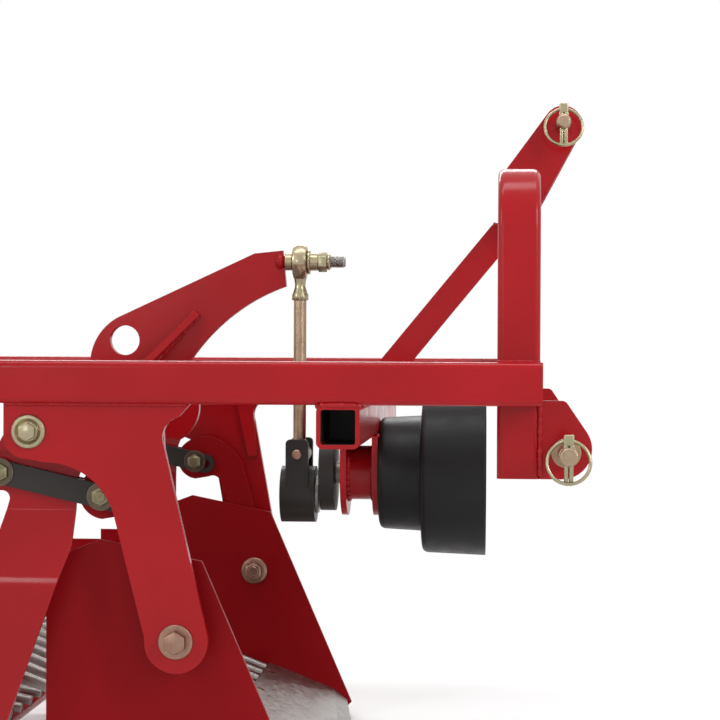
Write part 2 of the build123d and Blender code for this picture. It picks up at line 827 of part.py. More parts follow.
with BuildPart() as stud_nuts:
    with BuildSketch(Plane.YZ.offset(ball_front)):
        with Locations((0, ball_z)):
            Circle(stud_washer_d / 2)
            Circle(stud_d / 2, mode=Mode.SUBTRACT)
    extrude(amount=stud_washer_t)
    nut_x = ball_front + stud_washer_t
    for nut_length in (stud_jam_nut, stud_lock_nut):
        with BuildSketch(Plane.YZ.offset(nut_x + side_gap)):
            with Locations((0, ball_z)):
                RegularPolygon(stud_nut_af / 2, 6, major_radius=False)
                Circle(stud_d / 2, mode=Mode.SUBTRACT)
        extrude(amount=nut_length - side_gap)
        nut_x += nut_length
keep(stud_nuts.part, "stud_nuts")

# Rocker arm: a plate from the cross shaft up to the stud
nose = (conrod_x, ball_z)
heel = (rocker_x, rocker_z)
with BuildPart() as rocker_arm:
    with BuildSketch(Plane.XZ):
        with BuildLine():
            Polyline(
                shift(nose, rocker_nose_low),
                shift(nose, rocker_nose_top),
                shift(nose, rocker_nose_back),
                shift(heel, rocker_back_top),
            )
            ThreePointArc(
                shift(heel, rocker_back_top), shift(heel, rocker_back_mid), shift(heel, rocker_back_low)
            )
            Polyline(
                shift(heel, rocker_back_low),
                (rocker_x - rocker_eye_r, rocker_z),
                (rocker_x + rocker_eye_r / 2, rocker_z - rocker_eye_r / 2),
                shift(heel, rocker_lobe_low),
            )
            ThreePointArc(*[shift(heel, by) for by in (rocker_lobe_low, rocker_lobe_mid, rocker_lobe_top)])
            Line(shift(heel, rocker_lobe_top), shift(heel, rocker_belly_low))
            ThreePointArc(
                shift(heel, rocker_belly_low), shift(heel, rocker_belly_mid), shift(nose, rocker_nose_low)
            )
        make_face()
        with Locations((rocker_x, rocker_z)):
            Circle(rocker_eye_r)
            Circle(rocker_shaft_d / 2, mode=Mode.SUBTRACT)
        with Locations(shift(heel, rocker_hole_at)):
            Circle(rocker_hole_d / 2, mode=Mode.SUBTRACT)
        with Locations((stud_rear + stud_weld_length, ball_z)):
            Rectangle(2 * stud_weld_length, stud_d, mode=Mode.SUBTRACT)
    extrude(amount=rocker_thick / 2, both=True)
keep(rocker_arm.part, "rocker_arm")

# Ribs standing on both faces of the arm, running out from the cross shaft
rib_angle = math.radians(rocker_rib_angle)
rib_plane = Plane(
    (rocker_x, 0, rocker_z),
    (math.cos(rib_angle), 0, math.sin(rib_angle)),
    (-math.sin(rib_angle), 0, math.cos(rib_angle)),
)
with BuildPart() as rocker_ribs:
    for sign in SIDES.values():
        with BuildSketch(rib_plane):
            with BuildLine():
                Polyline(
                    (rocker_shaft_d / 2, sign * rocker_thick / 2),
                    (rocker_rib_reach, sign * rocker_thick / 2),
                    (rocker_rib_reach, sign * rocker_rib_tip),
                    (rocker_shaft_d / 2, sign * rocker_rib_root),
                    close=True,
                )
            make_face()
        extrude(amount=rocker_rib_t / 2, both=True)
keep(rocker_ribs.part, "rocker_ribs")

# Rocker cross shaft with a journal at each end, tapped for the end bolts
journal_end = leg_outer + seat_gap
journal_start = leg_inner - leg_clear
tap_depth = 2 * link_bolt_d
with BuildPart() as rocker_shaft:
    with BuildSketch(Plane.XZ):
        with Locations((rocker_x, rocker_z)):
            Circle(rocker_shaft_d / 2)
    extrude(amount=journal_start, both=True)
    with BuildSketch(Plane.XZ):
        with Locations((rocker_x, rocker_z)):
            Circle(rocker_journal_d / 2)
    extrude(amount=journal_end, both=True)
    for sign in SIDES.values():
        with BuildSketch(wall(sign, journal_end - tap_depth, tap_depth)):
            with Locations((rocker_x, rocker_z)):
                Circle(link_bolt_d / 2)
        extrude(amount=tap_depth, mode=Mode.SUBTRACT)
keep(rocker_shaft.part, "rocker_shaft")

# End bolts of the cross shaft, each with its large washer
washer_outer = journal_end + rocker_washer_t
with BuildPart() as rocker_pivot_bolts:
    for sign in SIDES.values():
        with BuildSketch(wall(sign, journal_end - tap_depth, tap_depth + rocker_washer_t)):
            with Locations((rocker_x, rocker_z)):
                Circle(link_bolt_d / 2)
        extrude(amount=tap_depth + rocker_washer_t)
        with BuildSketch(wall(sign, journal_end, rocker_washer_t)):
            with Locations((rocker_x, rocker_z)):
                Circle(rocker_washer_d / 2)
        extrude(amount=rocker_washer_t)
        with BuildSketch(wall(sign, washer_outer, link_head)):
            with Locations((rocker_x, rocker_z)):
                RegularPolygon(link_nut_af / 2, 6, major_radius=False)
        extrude(amount=link_head)
keep(rocker_pivot_bolts.part, "rocker_pivot_bolts")

# Short levers on the cross shaft that drive the links and the sieve
with BuildPart() as rocker_levers:
    for sign in SIDES.values():
        with BuildSketch(wall(sign, share_lever_inner, rocker_lever_t)):
            with Locations((rocker_x, rocker_z)):
                Circle(lever_root_r)
            with Locations((link_rear_x, link_rear_z)):
                Circle(lever_eye_r)
            make_hull()
            with Locations((rocker_x, rocker_z)):
                Circle(rocker_shaft_d / 2, mode=Mode.SUBTRACT)
            with Locations((link_rear_x, link_rear_z)):
                Circle(link_bolt_d / 2, mode=Mode.SUBTRACT)
        extrude(amount=rocker_lever_t)
keep(rocker_levers.part, "rocker_levers")

# Rear link bolts, which turn with the rocker
link_head_face = link_out_face + seat_gap
link_nut_face = link_in_inner - seat_gap
link_bolt_sizes = (link_nut_face, link_head_face, link_bolt_d, link_nut_af, link_head - seat_gap, link_nut)
with BuildPart() as link_rear_bolts:
    for sign in SIDES.values():
        add(through_bolt(sign, (link_rear_x, link_rear_z), *link_bolt_sizes))
keep(link_rear_bolts.part, "link_rear_bolts")

# Links in pairs either side of the levers, slotted at the front
link_length = math.hypot(link_ahead, link_fall)
link_dir = (link_ahead / link_length, 0, -link_fall / link_length)
with BuildPart() as links:
    for sign in SIDES.values():
        for inner in (link_out_inner, link_in_inner):
            start_y = -inner if sign < 0 else inner + link_thick
            bar_plane = Plane((link_rear_x, start_y, link_rear_z), link_dir, (0, -1, 0))
            with BuildSketch(bar_plane):
                with Locations(((link_length + link_slot) / 2, 0)):
                    SlotCenterToCenter(link_length + link_slot, link_width)
                Circle(link_bolt_d / 2 + running_gap, mode=Mode.SUBTRACT)
                with Locations((link_length + link_slot / 2, 0)):
                    SlotCenterToCenter(link_slot, link_bolt_d + 2 * link_clear, mode=Mode.SUBTRACT)
            extrude(amount=link_thick)
keep(links.part, "links")

# Leg plates under the rails, from the rocker pivot down to the share pivot, with a bar inside the knee
leg_rear = rocker_x - leg_rear_set
leg_shoulder = rocker_z - leg_shoulder_drop
share_pivot = (share_x, share_z)
for side, sign in SIDES.items():
    root = shift(heel, (leg_left_ahead if side == "left" else 0.0, 0.0))
    cut_centre = (root[0] + leg_cut_ahead, leg_shoulder - leg_cut_drop - leg_cut_r)
    cut_mid, cut_end = (
        shift(cut_centre, (leg_cut_r * math.sin(turn), leg_cut_r * math.cos(turn)))
        for turn in (leg_cut_turn / 2, leg_cut_turn)
    )
    with BuildPart() as leg:
        with BuildSketch(wall(sign, leg_inner, leg_thick)):
            with BuildLine():
                Line((leg_rear, rail_under), (leg_rear, leg_shoulder + leg_corner))
                RadiusArc(
                    (leg_rear, leg_shoulder + leg_corner),
                    (leg_rear + leg_corner, leg_shoulder),
                    -leg_corner,
                )
                Line((leg_rear + leg_corner, leg_shoulder), shift(cut_centre, (0, leg_cut_r)))
                ThreePointArc(shift(cut_centre, (0, leg_cut_r)), cut_mid, cut_end)
                Polyline(
                    cut_end,
                    shift(share_pivot, leg_foot_rear),
                    shift(share_pivot, leg_foot_front),
                    shift(root, leg_knee_low),
                )
                ThreePointArc(*[shift(root, by) for by in (leg_knee_low, leg_knee_mid, leg_knee_top)])
                Polyline(
                    shift(root, leg_knee_top),
                    (root[0] + leg_front_set, rail_under),
                    (leg_rear, rail_under),
                )
            make_face()
            with Locations((share_x, share_z)):
                Circle(leg_end_r)
                Circle(share_pivot_d / 2, mode=Mode.SUBTRACT)
            with Locations((rocker_x, rocker_z)):
                Circle(rocker_journal_d / 2 + running_gap, mode=Mode.SUBTRACT)
        extrude(amount=leg_thick)
        with BuildSketch(wall(sign, leg_inner - leg_bar_thick, leg_bar_thick)):
            with BuildLine():
                Polyline(
                    *[(root[0] + ahead, rail_under) for ahead in leg_bar_top],
                    *[(root[0] + ahead, rocker_z - leg_bar_drop) for ahead in reversed(leg_bar_foot)],
                    close=True,
                )
            make_face()
        extrude(amount=leg_bar_thick)
    keep(leg.part, f"leg_{side}")

# Share pivots: bolts through the legs, with washers and a spacer sleeve on each
pivot_washer_in = panel_inner - seat_gap
pivot_bolt_sizes = (
    pivot_washer_in - share_washer_t,
    leg_outer + share_washer_t,
    share_pivot_d,
    stud_nut_af,
    share_pivot_head,
    share_pivot_nut,
)
with BuildPart() as share_pivot_bolts:
    for sign in SIDES.values():
        add(through_bolt(sign, (share_x, share_z), *pivot_bolt_sizes))
keep(share_pivot_bolts.part, "share_pivot_bolts")

pivot_rings = (
    (pivot_washer_in - share_washer_t, share_washer_t),
    (panel_outer + seat_gap, leg_inner - panel_outer - seat_gap),
    (leg_outer, share_washer_t),
)
with BuildPart() as share_pivot_washers:
    for sign in SIDES.values():
        for inner, thick in pivot_rings:
            with BuildSketch(wall(sign, inner, thick)):
                with Locations((share_x, share_z)):
                    Circle(share_washer_d / 2)
                    Circle(share_pivot_d / 2, mode=Mode.SUBTRACT)
            extrude(amount=thick)
keep(share_pivot_washers.part, "share_pivot_washers")

# Share side panels, which also carry the machine's front on the ground
panel_toe_x = share_x + share_panel_front + (share_z + share_panel_corner - share_toe) * share_panel_slope
panel_points = (
    (share_x - share_panel_heel, share_z + share_panel_corner),
    (share_x - share_panel_peak_set, share_z + share_panel_peak),
    (share_x + share_panel_front, share_z + share_panel_corner),
    (panel_toe_x, share_toe),
    (panel_toe_x - share_toe, 0),
    (share_x - share_panel_foot, 0),
    (share_x - share_panel_heel, share_panel_foot),
)
for side, sign in SIDES.items():
    with BuildPart() as share_panel:
        with BuildSketch(wall(sign, panel_inner, share_panel_t)):
            with BuildLine():
                Polyline(*panel_points, close=True)
            make_face()
            with Locations((share_x, share_z)):
                Circle(share_pivot_d / 2 + running_gap, mode=Mode.SUBTRACT)
        extrude(amount=share_panel_t)
    keep(share_panel.part, f"share_panel_{side}")

# Hooked levers that rise from the panels to the links
boss = (link_front_x, link_front_z)
with BuildPart() as share_levers:
    for sign in SIDES.values():
        with BuildSketch(wall(sign, share_lever_inner, share_lever_t)):
            with BuildLine():
                ThreePointArc(*[shift(boss, by) for by in (lever_boss_top, lever_crown_mid, lever_crown)])
                ThreePointArc(*[shift(boss, by) for by in (lever_crown, lever_bend, lever_shoulder)])
                Polyline(
                    shift(boss, lever_shoulder),
                    shift(share_pivot, lever_foot_front),
                    shift(share_pivot, lever_foot_rear),
                    shift(boss, lever_throat_low),
                )
                ThreePointArc(
                    *[shift(boss, by) for by in (lever_throat_low, lever_throat_mid, lever_throat_top)]
                )
                Line(shift(boss, lever_throat_top), shift(boss, (0, -share_lever_boss)))
                ThreePointArc(
                    shift(boss, (0, -share_lever_boss)),
                    shift(boss, (-share_lever_boss, 0)),
                    shift(boss, lever_boss_top),
                )
            make_face()
            with Locations((link_front_x, link_front_z)):
                Circle(link_bolt_d / 2, mode=Mode.SUBTRACT)
        extrude(amount=share_lever_t)
keep(share_levers.part, "share_levers")

# Share blade, its carrier bar, the fingers behind it and the bolts
tilt = math.radians(blade_angle)
blade_plane = Plane(
    (share_x + blade_rear_ahead, 0, blade_rear_height),
    (math.cos(tilt), 0, -math.sin(tilt)),
    (math.sin(tilt), 0, math.cos(tilt)),
)
bolt_pitch = 2 * (panel_inner - share_bolt_edge) / (share_bolt_count - 1)
bolt_ahead = bar_ahead / 2
with BuildPart() as share_blade:
    with BuildSketch(blade_plane):
        with BuildLine():
            Polyline(
                (0, -panel_inner),
                (blade_length - blade_point, -panel_inner),
                (blade_length, 0),
                (blade_length - blade_point, panel_inner),
                (0, panel_inner),
                close=True,
            )
        make_face()
        with Locations((bolt_ahead, 0)):
            with GridLocations(0, bolt_pitch, 1, share_bolt_count):
                Circle(share_bolt_d / 2, mode=Mode.SUBTRACT)
    extrude(amount=-blade_thick)
    blade_top = share_blade.faces().sort_by(Axis((0, 0, 0), blade_plane.z_dir))[-1]
    cutting_edges = blade_top.edges().group_by(Axis((0, 0, 0), blade_plane.x_dir))[-1]
    chamfer(cutting_edges, blade_bevel, blade_thick - blade_edge, reference=blade_top)
keep(share_blade.part, "share_blade")

with BuildPart() as share_bar:
    with BuildSketch(blade_plane.offset(-blade_thick)):
        with Locations((bar_ahead - share_bar_w / 2, 0)):
            Rectangle(share_bar_w, 2 * panel_inner)
        with Locations((bolt_ahead, 0)):
            with GridLocations(0, bolt_pitch, 1, share_bolt_count):
                Circle(share_bolt_d / 2, mode=Mode.SUBTRACT)
    extrude(amount=-share_bar_t)
keep(share_bar.part, "share_bar")

# Bolts of the share box: flush ones through the blade, and the front link bolts
with BuildPart() as share_box_bolts:
    with BuildSketch(blade_plane):
        with Locations((bolt_ahead, 0)):
            with GridLocations(0, bolt_pitch, 1, share_bolt_count):
                Circle(share_bolt_d / 2)
    extrude(amount=-(blade_thick + share_bar_t))
    for sign in SIDES.values():
        add(through_bolt(sign, (link_front_x, link_front_z), *link_bolt_sizes))
keep(share_box_bolts.part, "share_box_bolts")

finger_pitch = 2 * (panel_inner - finger_edge) / (finger_count - 1)
finger_start = blade_plane.from_local_coords((-side_gap, 0, finger_d / 2 - blade_thick))
finger_plane = Plane(finger_start, (0, 1, 0), -blade_plane.x_dir)
with BuildPart() as share_fingers:
    with BuildSketch(finger_plane):
        with GridLocations(finger_pitch, 0, finger_count, 1):
            Circle(finger_d / 2)
    extrude(amount=finger_length)
keep(share_fingers.part, "share_fingers")

# Sieve side panels: folded sheet, cut to the side outline, with a tall front plate that hooks back to
# the link bolt, a low wall behind it and an ear for the hanger
floor_front_x = sieve_front - (sieve_top - sieve_floor_front) * sieve_lean
floor_run = floor_front_x - sieve_rear
pitch = math.atan2(sieve_floor_rise, floor_run)
floor_plane = Plane(
    (floor_front_x, 0, sieve_floor_front),
    (-math.cos(pitch), 0, math.sin(pitch)),
    (math.sin(pitch), 0, math.cos(pitch)),
)
skirt = sieve_bar_d + sieve_sheet
fold_lean = math.atan2(sieve_spread, sieve_fold_top - sieve_fold_low)
fold_shift = sieve_sheet * math.tan(fold_lean / 2)
sheet_top = hanger_low + 2 * sieve_ear_r + sieve_top
fold_points = (
    (sieve_inner, sheet_top),
    (sieve_inner, sieve_fold_top),
    (sieve_wide, sieve_fold_low),
    (sieve_wide, 0),
    (sieve_wide + sieve_sheet, 0),
    (sieve_wide + sieve_sheet, sieve_fold_low + fold_shift),
    (sieve_inner + sieve_sheet, sieve_fold_top + fold_shift),
    (sieve_inner + sieve_sheet, sheet_top),
)
link_rear = (link_rear_x, link_rear_z)
neck = shift(link_rear, (sieve_neck, -sieve_ear_r))
waist = shift(link_rear, sieve_waist)
step_top = sieve_wall_top + sieve_step
step_rear = waist[0] - sieve_step_run
for side, sign in SIDES.items():
    with BuildPart() as sieve_panel:
        with BuildSketch(Plane.YZ.offset(sieve_rear)):
            with BuildLine():
                Polyline(*[(sign * y, z) for y, z in fold_points], close=True)
            make_face()
        extrude(amount=sieve_length + sieve_brow[0])
        with BuildSketch(wall(sign, sieve_inner - sieve_sheet, sieve_spread + 3 * sieve_sheet)) as outline:
            with BuildLine():
                Polyline(
                    (sieve_front, sieve_top),
                    (sieve_front, sieve_top + sieve_brow_foot),
                    shift((sieve_front, sieve_top), sieve_brow),
                    shift(link_rear, (0, sieve_ear_r)),
                    shift(link_rear, (0, -sieve_ear_r)),
                    neck,
                    waist,
                    (waist[0], step_top),
                    (step_rear, step_top),
                    (step_rear, sieve_wall_top),
                    (hanger_x + 2 * sieve_ear_r, sieve_wall_top),
                    (hanger_x + sieve_ear_r, hanger_low),
                    (hanger_x - sieve_ear_r, hanger_low),
                    (hanger_x - 2 * sieve_ear_r, sieve_wall_top),
                    (sieve_rear, sieve_wall_top),
                    (sieve_rear, sieve_floor_front + sieve_floor_rise - skirt),
                    (floor_front_x, sieve_floor_front - skirt),
                    (sieve_front - sieve_nose_back, sieve_top - sieve_nose),
                    close=True,
                )
            make_face()
            for corner, radius in ((neck, sieve_neck_r), (waist, sieve_waist_r)):
                fillet(outline.vertices().sort_by_distance((*corner, 0))[0], radius)
            with Locations((link_rear_x, link_rear_z), (hanger_x, hanger_low)):
                Circle(sieve_ear_r)
            with Locations((link_rear_x, link_rear_z)):
                Circle(link_bolt_d / 2 + running_gap, mode=Mode.SUBTRACT)
            with Locations((hanger_x, hanger_low)):
                Circle(hanger_bolt_d / 2, mode=Mode.SUBTRACT)
        extrude(amount=sieve_spread + 3 * sieve_sheet, mode=Mode.INTERSECT)
    keep(sieve_panel.part, f"sieve_panel_{side}")

# Sieve floor: round cross bars between the panels and rods lying on them
floor_length = floor_run / math.cos(pitch)
with BuildPart() as sieve_cross_bars:
    for part_way in sieve_bar_places:
        bar_centre = floor_plane.from_local_coords((part_way * floor_length, 0, -sieve_bar_d / 2))
        with BuildSketch(Plane.XZ):
            with Locations((bar_centre.X, bar_centre.Z)):
                Circle(sieve_bar_d / 2)
        extrude(amount=sieve_wide, both=True)
keep(sieve_cross_bars.part, "sieve_cross_bars")

rod_pitch = 2 * (sieve_wide - sieve_rod_edge) / (sieve_rod_count - 1)
rod_start = floor_plane.from_local_coords((0, 0, sieve_rod_d / 2))
with BuildPart() as sieve_rods:
    with BuildSketch(Plane(rod_start, (0, 1, 0), floor_plane.x_dir)):
        with GridLocations(rod_pitch, 0, sieve_rod_count, 1):
            Circle(sieve_rod_d / 2)
    extrude(amount=floor_length)
keep(sieve_rods.part, "sieve_rods")

# Hangers for the rear of the sieve, on bolts through the rails
with BuildPart() as sieve_hangers:
    for sign in SIDES.values():
        with BuildSketch(wall(sign, hanger_inner, link_thick)):
            with Locations((hanger_x, (rail_z + hanger_low) / 2)):
                SlotCenterToCenter(hanger_length, link_width, rotation=90)
            with Locations((hanger_x, rail_z)):
                Circle(hanger_bolt_d / 2 + running_gap, mode=Mode.SUBTRACT)
            with Locations((hanger_x, hanger_low)):
                Circle(hanger_bolt_d / 2 + hanger_clear, mode=Mode.SUBTRACT)
        extrude(amount=link_thick)
keep(sieve_hangers.part, "sieve_hangers")

hanger_nut_face = hanger_inner - seat_gap
hanger_bolt_sizes = (hanger_bolt_d, hanger_nut_af, hanger_head, hanger_head)
with BuildPart() as hanger_low_bolts:
    for sign in SIDES.values():
        low_head = sieve_inner + sieve_sheet
        add(through_bolt(sign, (hanger_x, hanger_low), hanger_nut_face, low_head, *hanger_bolt_sizes))
        with BuildSketch(wall(sign, hanger_outer + seat_gap, sieve_inner - hanger_outer - seat_gap)):
            with Locations((hanger_x, hanger_low)):
                Circle(hanger_nut_af / 2)
        extrude(amount=sieve_inner - hanger_outer - seat_gap)
keep(hanger_low_bolts.part, "hanger_low_bolts")

# Parking stands at the rear: a socket on each rail, a sliding leg and a clamp bolt
socket_size = stand_tube + 2 * stand_gap + 2 * stand_socket_wall
socket_x = rail_rear + socket_size / 2
socket_y = half_width + socket_size / 2
with BuildPart() as stand_sockets:
    for sign in SIDES.values():
        with BuildSketch(Plane.XY.offset(rail_under - stand_socket_below)):
            with Locations((socket_x, sign * socket_y)):
                Rectangle(socket_size, socket_size)
                Rectangle(stand_tube + 2 * stand_gap, stand_tube + 2 * stand_gap, mode=Mode.SUBTRACT)
        extrude(amount=stand_socket_height)
        with BuildSketch(wall(sign, half_width + socket_size - stand_socket_wall, stand_socket_wall)):
            with Locations((socket_x, rail_z)):
                Circle(stand_bolt_d / 2)
        extrude(amount=stand_socket_wall, mode=Mode.SUBTRACT)
keep(stand_sockets.part, "stand_sockets")

# Bolts in the rear of the rails: the hangers' upper bolts and the stands' clamp bolts
bolt_tip = socket_y + stand_tube / 2 + stand_bolt_gap
bolt_face = half_width + socket_size
with BuildPart() as rear_rail_bolts:
    for sign in SIDES.values():
        add(through_bolt(sign, (hanger_x, rail_z), hanger_nut_face, half_width, *hanger_bolt_sizes))
        with BuildSketch(wall(sign, hanger_outer + seat_gap, rail_inner - hanger_outer - seat_gap)):
            with Locations((hanger_x, rail_z)):
                Circle(hanger_nut_af / 2)
        extrude(amount=rail_inner - hanger_outer - seat_gap)
        with BuildSketch(wall(sign, bolt_tip, bolt_face - bolt_tip)):
            with Locations((socket_x, rail_z)):
                Circle(stand_bolt_d / 2)
        extrude(amount=bolt_face - bolt_tip)
        with BuildSketch(wall(sign, bolt_face, stand_bolt_head)):
            with Locations((socket_x, rail_z)):
                RegularPolygon(stand_bolt_af / 2, 6, major_radius=False)
        extrude(amount=stand_bolt_head)
keep(rear_rail_bolts.part, "rear_rail_bolts")

for side, sign in SIDES.items():
    with BuildPart() as stand:
        with BuildSketch(Plane.XY):
            with Locations((socket_x, sign * socket_y)):
                RectangleRounded(stand_foot_length, stand_foot_width, tube_corner)
        extrude(amount=stand_foot_t)
        with BuildSketch(Plane.XY.offset(stand_foot_t)):
            with Locations((socket_x, sign * socket_y)):
                Rectangle(stand_tube, stand_tube)
                Rectangle(stand_tube - 2 * stand_wall, stand_tube - 2 * stand_wall, mode=Mode.SUBTRACT)
        extrude(amount=rail_top + stand_top - stand_foot_t)
    keep(stand.part, f"stand_{side}")
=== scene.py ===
"""Looks of a tractor-mounted vibrating potato digger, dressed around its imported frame.

The frame gives every place: +X points to the tractor, +Y to the left, +Z up, metres.
"""
from __future__ import annotations

import json
import logging
import math
from dataclasses import dataclass
from enum import Enum

import bmesh
import bpy
from mathutils import Matrix, Vector

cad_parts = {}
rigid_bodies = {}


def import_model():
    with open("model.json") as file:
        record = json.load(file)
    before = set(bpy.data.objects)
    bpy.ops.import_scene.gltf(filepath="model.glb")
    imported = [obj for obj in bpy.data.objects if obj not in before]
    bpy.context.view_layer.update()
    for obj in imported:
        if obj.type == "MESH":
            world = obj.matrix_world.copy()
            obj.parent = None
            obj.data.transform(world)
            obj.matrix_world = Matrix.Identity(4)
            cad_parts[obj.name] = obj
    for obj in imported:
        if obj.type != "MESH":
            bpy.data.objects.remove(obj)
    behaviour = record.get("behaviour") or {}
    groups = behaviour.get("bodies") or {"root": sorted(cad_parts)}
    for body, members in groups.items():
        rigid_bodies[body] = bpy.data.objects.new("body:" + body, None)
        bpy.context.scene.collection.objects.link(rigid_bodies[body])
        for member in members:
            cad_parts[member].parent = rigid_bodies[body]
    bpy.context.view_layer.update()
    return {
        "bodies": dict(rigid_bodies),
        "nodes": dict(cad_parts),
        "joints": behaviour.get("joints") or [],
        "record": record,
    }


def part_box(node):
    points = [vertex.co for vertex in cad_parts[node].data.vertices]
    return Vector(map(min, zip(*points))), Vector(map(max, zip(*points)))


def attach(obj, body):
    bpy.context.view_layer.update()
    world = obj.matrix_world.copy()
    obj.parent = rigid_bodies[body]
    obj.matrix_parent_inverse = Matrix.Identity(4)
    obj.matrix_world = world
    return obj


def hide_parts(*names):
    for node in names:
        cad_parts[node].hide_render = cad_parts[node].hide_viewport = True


LOG = logging.getLogger("potato_digger")
BMesh = bmesh.types.BMesh
Edges = list[bmesh.types.BMEdge]
Socket = bpy.types.NodeSocket
RGB = tuple[float, float, float]
Place = tuple[float, float, float]
Point = tuple[float, float]
Profile = list[Point]
Values = dict[str | int, object]

X_AXIS = Vector((1, 0, 0))
Y_AXIS = Vector((0, 1, 0))
Z_AXIS = Vector((0, 0, 1))
SIDES = (-1, 1)
CROSS_TUBES = ("drive_cross_tube", "rear_cross_tube")
WHITE = (1, 1, 1)

MM = 0.001
MERGE = 1e-6
SINK = 0.0001
SEAT = 0.0002
THIN_EDGE = 0.0003
WASHER_SHEET = 0.0012
BOLT_PROUD = 0.0016
NUT_EDGE = 0.0009
THREAD_PITCH = 0.002
WELD = 0.0032
WELD_PITCH = 0.0046


class NodeGraph:
    """A node tree, emptied and then filled through a few short calls."""

    def __init__(self, owner: bpy.types.Material | bpy.types.World) -> None:
        """Start the owner's tree from nothing."""
        owner.use_nodes = True
        self.tree = owner.node_tree
        self.tree.nodes.clear()

    def add(self, kind: str, values: Values | None = None, **settings: object) -> bpy.types.Node:
        """Add a node.

        Args:
            kind: Blender's name of the node type, after its ShaderNode.
            values: sockets, numbers and colours for its inputs, by name or number.
            settings: properties of the node to set.

        Returns:
            The new node.
        """
        node = self.tree.nodes.new(f"ShaderNode{kind}")
        for key, value in settings.items():
            setattr(node, key, value)
        self.fill(node, values or {})
        return node

    def fill(self, node: bpy.types.Node, values: Values) -> None:
        """Fill a node's inputs: a socket is linked and a number or colour is set."""
        for key, value in values.items():
            target = node.inputs[key]
            if isinstance(value, Socket):
                self.tree.links.new(value, target)
            else:
                target.default_value = (*value, 1) if target.type == "RGBA" else value

    def span(self, value: Socket, low: float, high: float, start: float = 0.3, end: float = 0.7) -> Socket:
        """Map a value onto a range.

        Args:
            value: socket to map.
            low: result where the value is at start.
            high: result where the value is at end.
            start: value that gives low.
            end: value that gives high.

        Returns:
            The mapped socket.
        """
        values = {"Value": value, "From Min": start, "From Max": end, "To Min": low, "To Max": high}
        return self.add("MapRange", values).outputs["Result"]

    def seen(self) -> Socket:
        """Socket that is 1 for rays that see the background: camera, glossy and transmission."""
        path = self.add("LightPath")
        total = path.outputs["Is Camera Ray"]
        for name in ("Is Glossy Ray", "Is Transmission Ray"):
            total = self.add("Math", {0: total, 1: path.outputs[name]}, operation="MAXIMUM").outputs[0]
        return total

    def blend(self, share: Socket, first: bpy.types.Node, second: bpy.types.Node, output: str) -> None:
        """Send two shaders to an output of a given type, the second one by its share."""
        mix = self.add("MixShader", {"Fac": share, 1: first.outputs[0], 2: second.outputs[0]})
        self.add(output, {"Surface": mix.outputs[0]})


class FinishGraph(NodeGraph):
    """A material around one Principled shader, with the node patterns that the finishes share."""

    def __init__(self, name: str, edge_radius: float) -> None:
        """Start a material by its name, with a normal that rounds sharp edges by a radius."""
        self.material = bpy.data.materials.new(name)
        super().__init__(self.material)
        self.shader = self.add("BsdfPrincipled")
        self.add("OutputMaterial", {"Surface": self.shader.outputs["BSDF"]})
        self.place = self.add("TexCoord").outputs["Object"]
        self.rounded = self.add("Bevel", {"Radius": edge_radius}, samples=4).outputs["Normal"]

    def noise(self, scale: float, detail: float, stretch: RGB = (1, 1, 1)) -> Socket:
        """Noise over the piece.

        Args:
            scale: cells per metre.
            detail: number of finer layers.
            stretch: scale of the pattern along X, Y and Z.

        Returns:
            The noise value's socket, from 0 to 1.
        """
        mapping = self.add("Mapping", {"Scale": stretch, "Vector": self.place})
        values = {"Scale": scale, "Detail": detail, "Vector": mapping.outputs["Vector"]}
        return self.add("TexNoise", values).outputs["Fac"]

    def mix(self, factor: Socket, first: RGB | Socket, second: RGB) -> Socket:
        """Mix two colours.

        Args:
            factor: share of the second colour.
            first: colour, or socket of one.
            second: colour.

        Returns:
            The mixed colour's socket.
        """
        node = self.add("Mix", {"Factor": factor}, data_type="RGBA")
        one, other = (index for index, socket in enumerate(node.inputs) if socket.type == "RGBA")
        self.fill(node, {one: first, other: second})
        return next(socket for socket in node.outputs if socket.type == "RGBA")

    def worn_and_lit_edges(self, reach: float, share: float) -> Socket:
        """Mask of the edges, which carries the finishes' edge colours: wear and painted highlight.

        Args:
            reach: how much of a turn of the normal gives the full mask.
            share: value of the full mask.

        Returns:
            Socket that grows from 0 on faces to the share on edges.
        """
        flat = self.add("NewGeometry").outputs["True Normal"]
        turn = self.add("VectorMath", {0: self.rounded, 1: flat}, operation="DOT_PRODUCT")
        mask = self.span(turn.outputs["Value"], 1.0, 0.0, 1.0 - reach, 1.0)
        return self.span(mask, 0.0, share, 0.1, 1.0)

    def bump(self, height: Socket, depth: float, strength: float, normal: Socket) -> Socket:
        """Bump from a height.

        Args:
            height: socket of the height, from 0 to 1.
            depth: depth of the bump in metres.
            strength: share of the bump that shows.
            normal: normal under the bump.

        Returns:
            The bumped normal's socket.
        """
        values = {"Distance": depth, "Strength": strength, "Height": height, "Normal": normal}
        return self.add("Bump", values).outputs["Normal"]


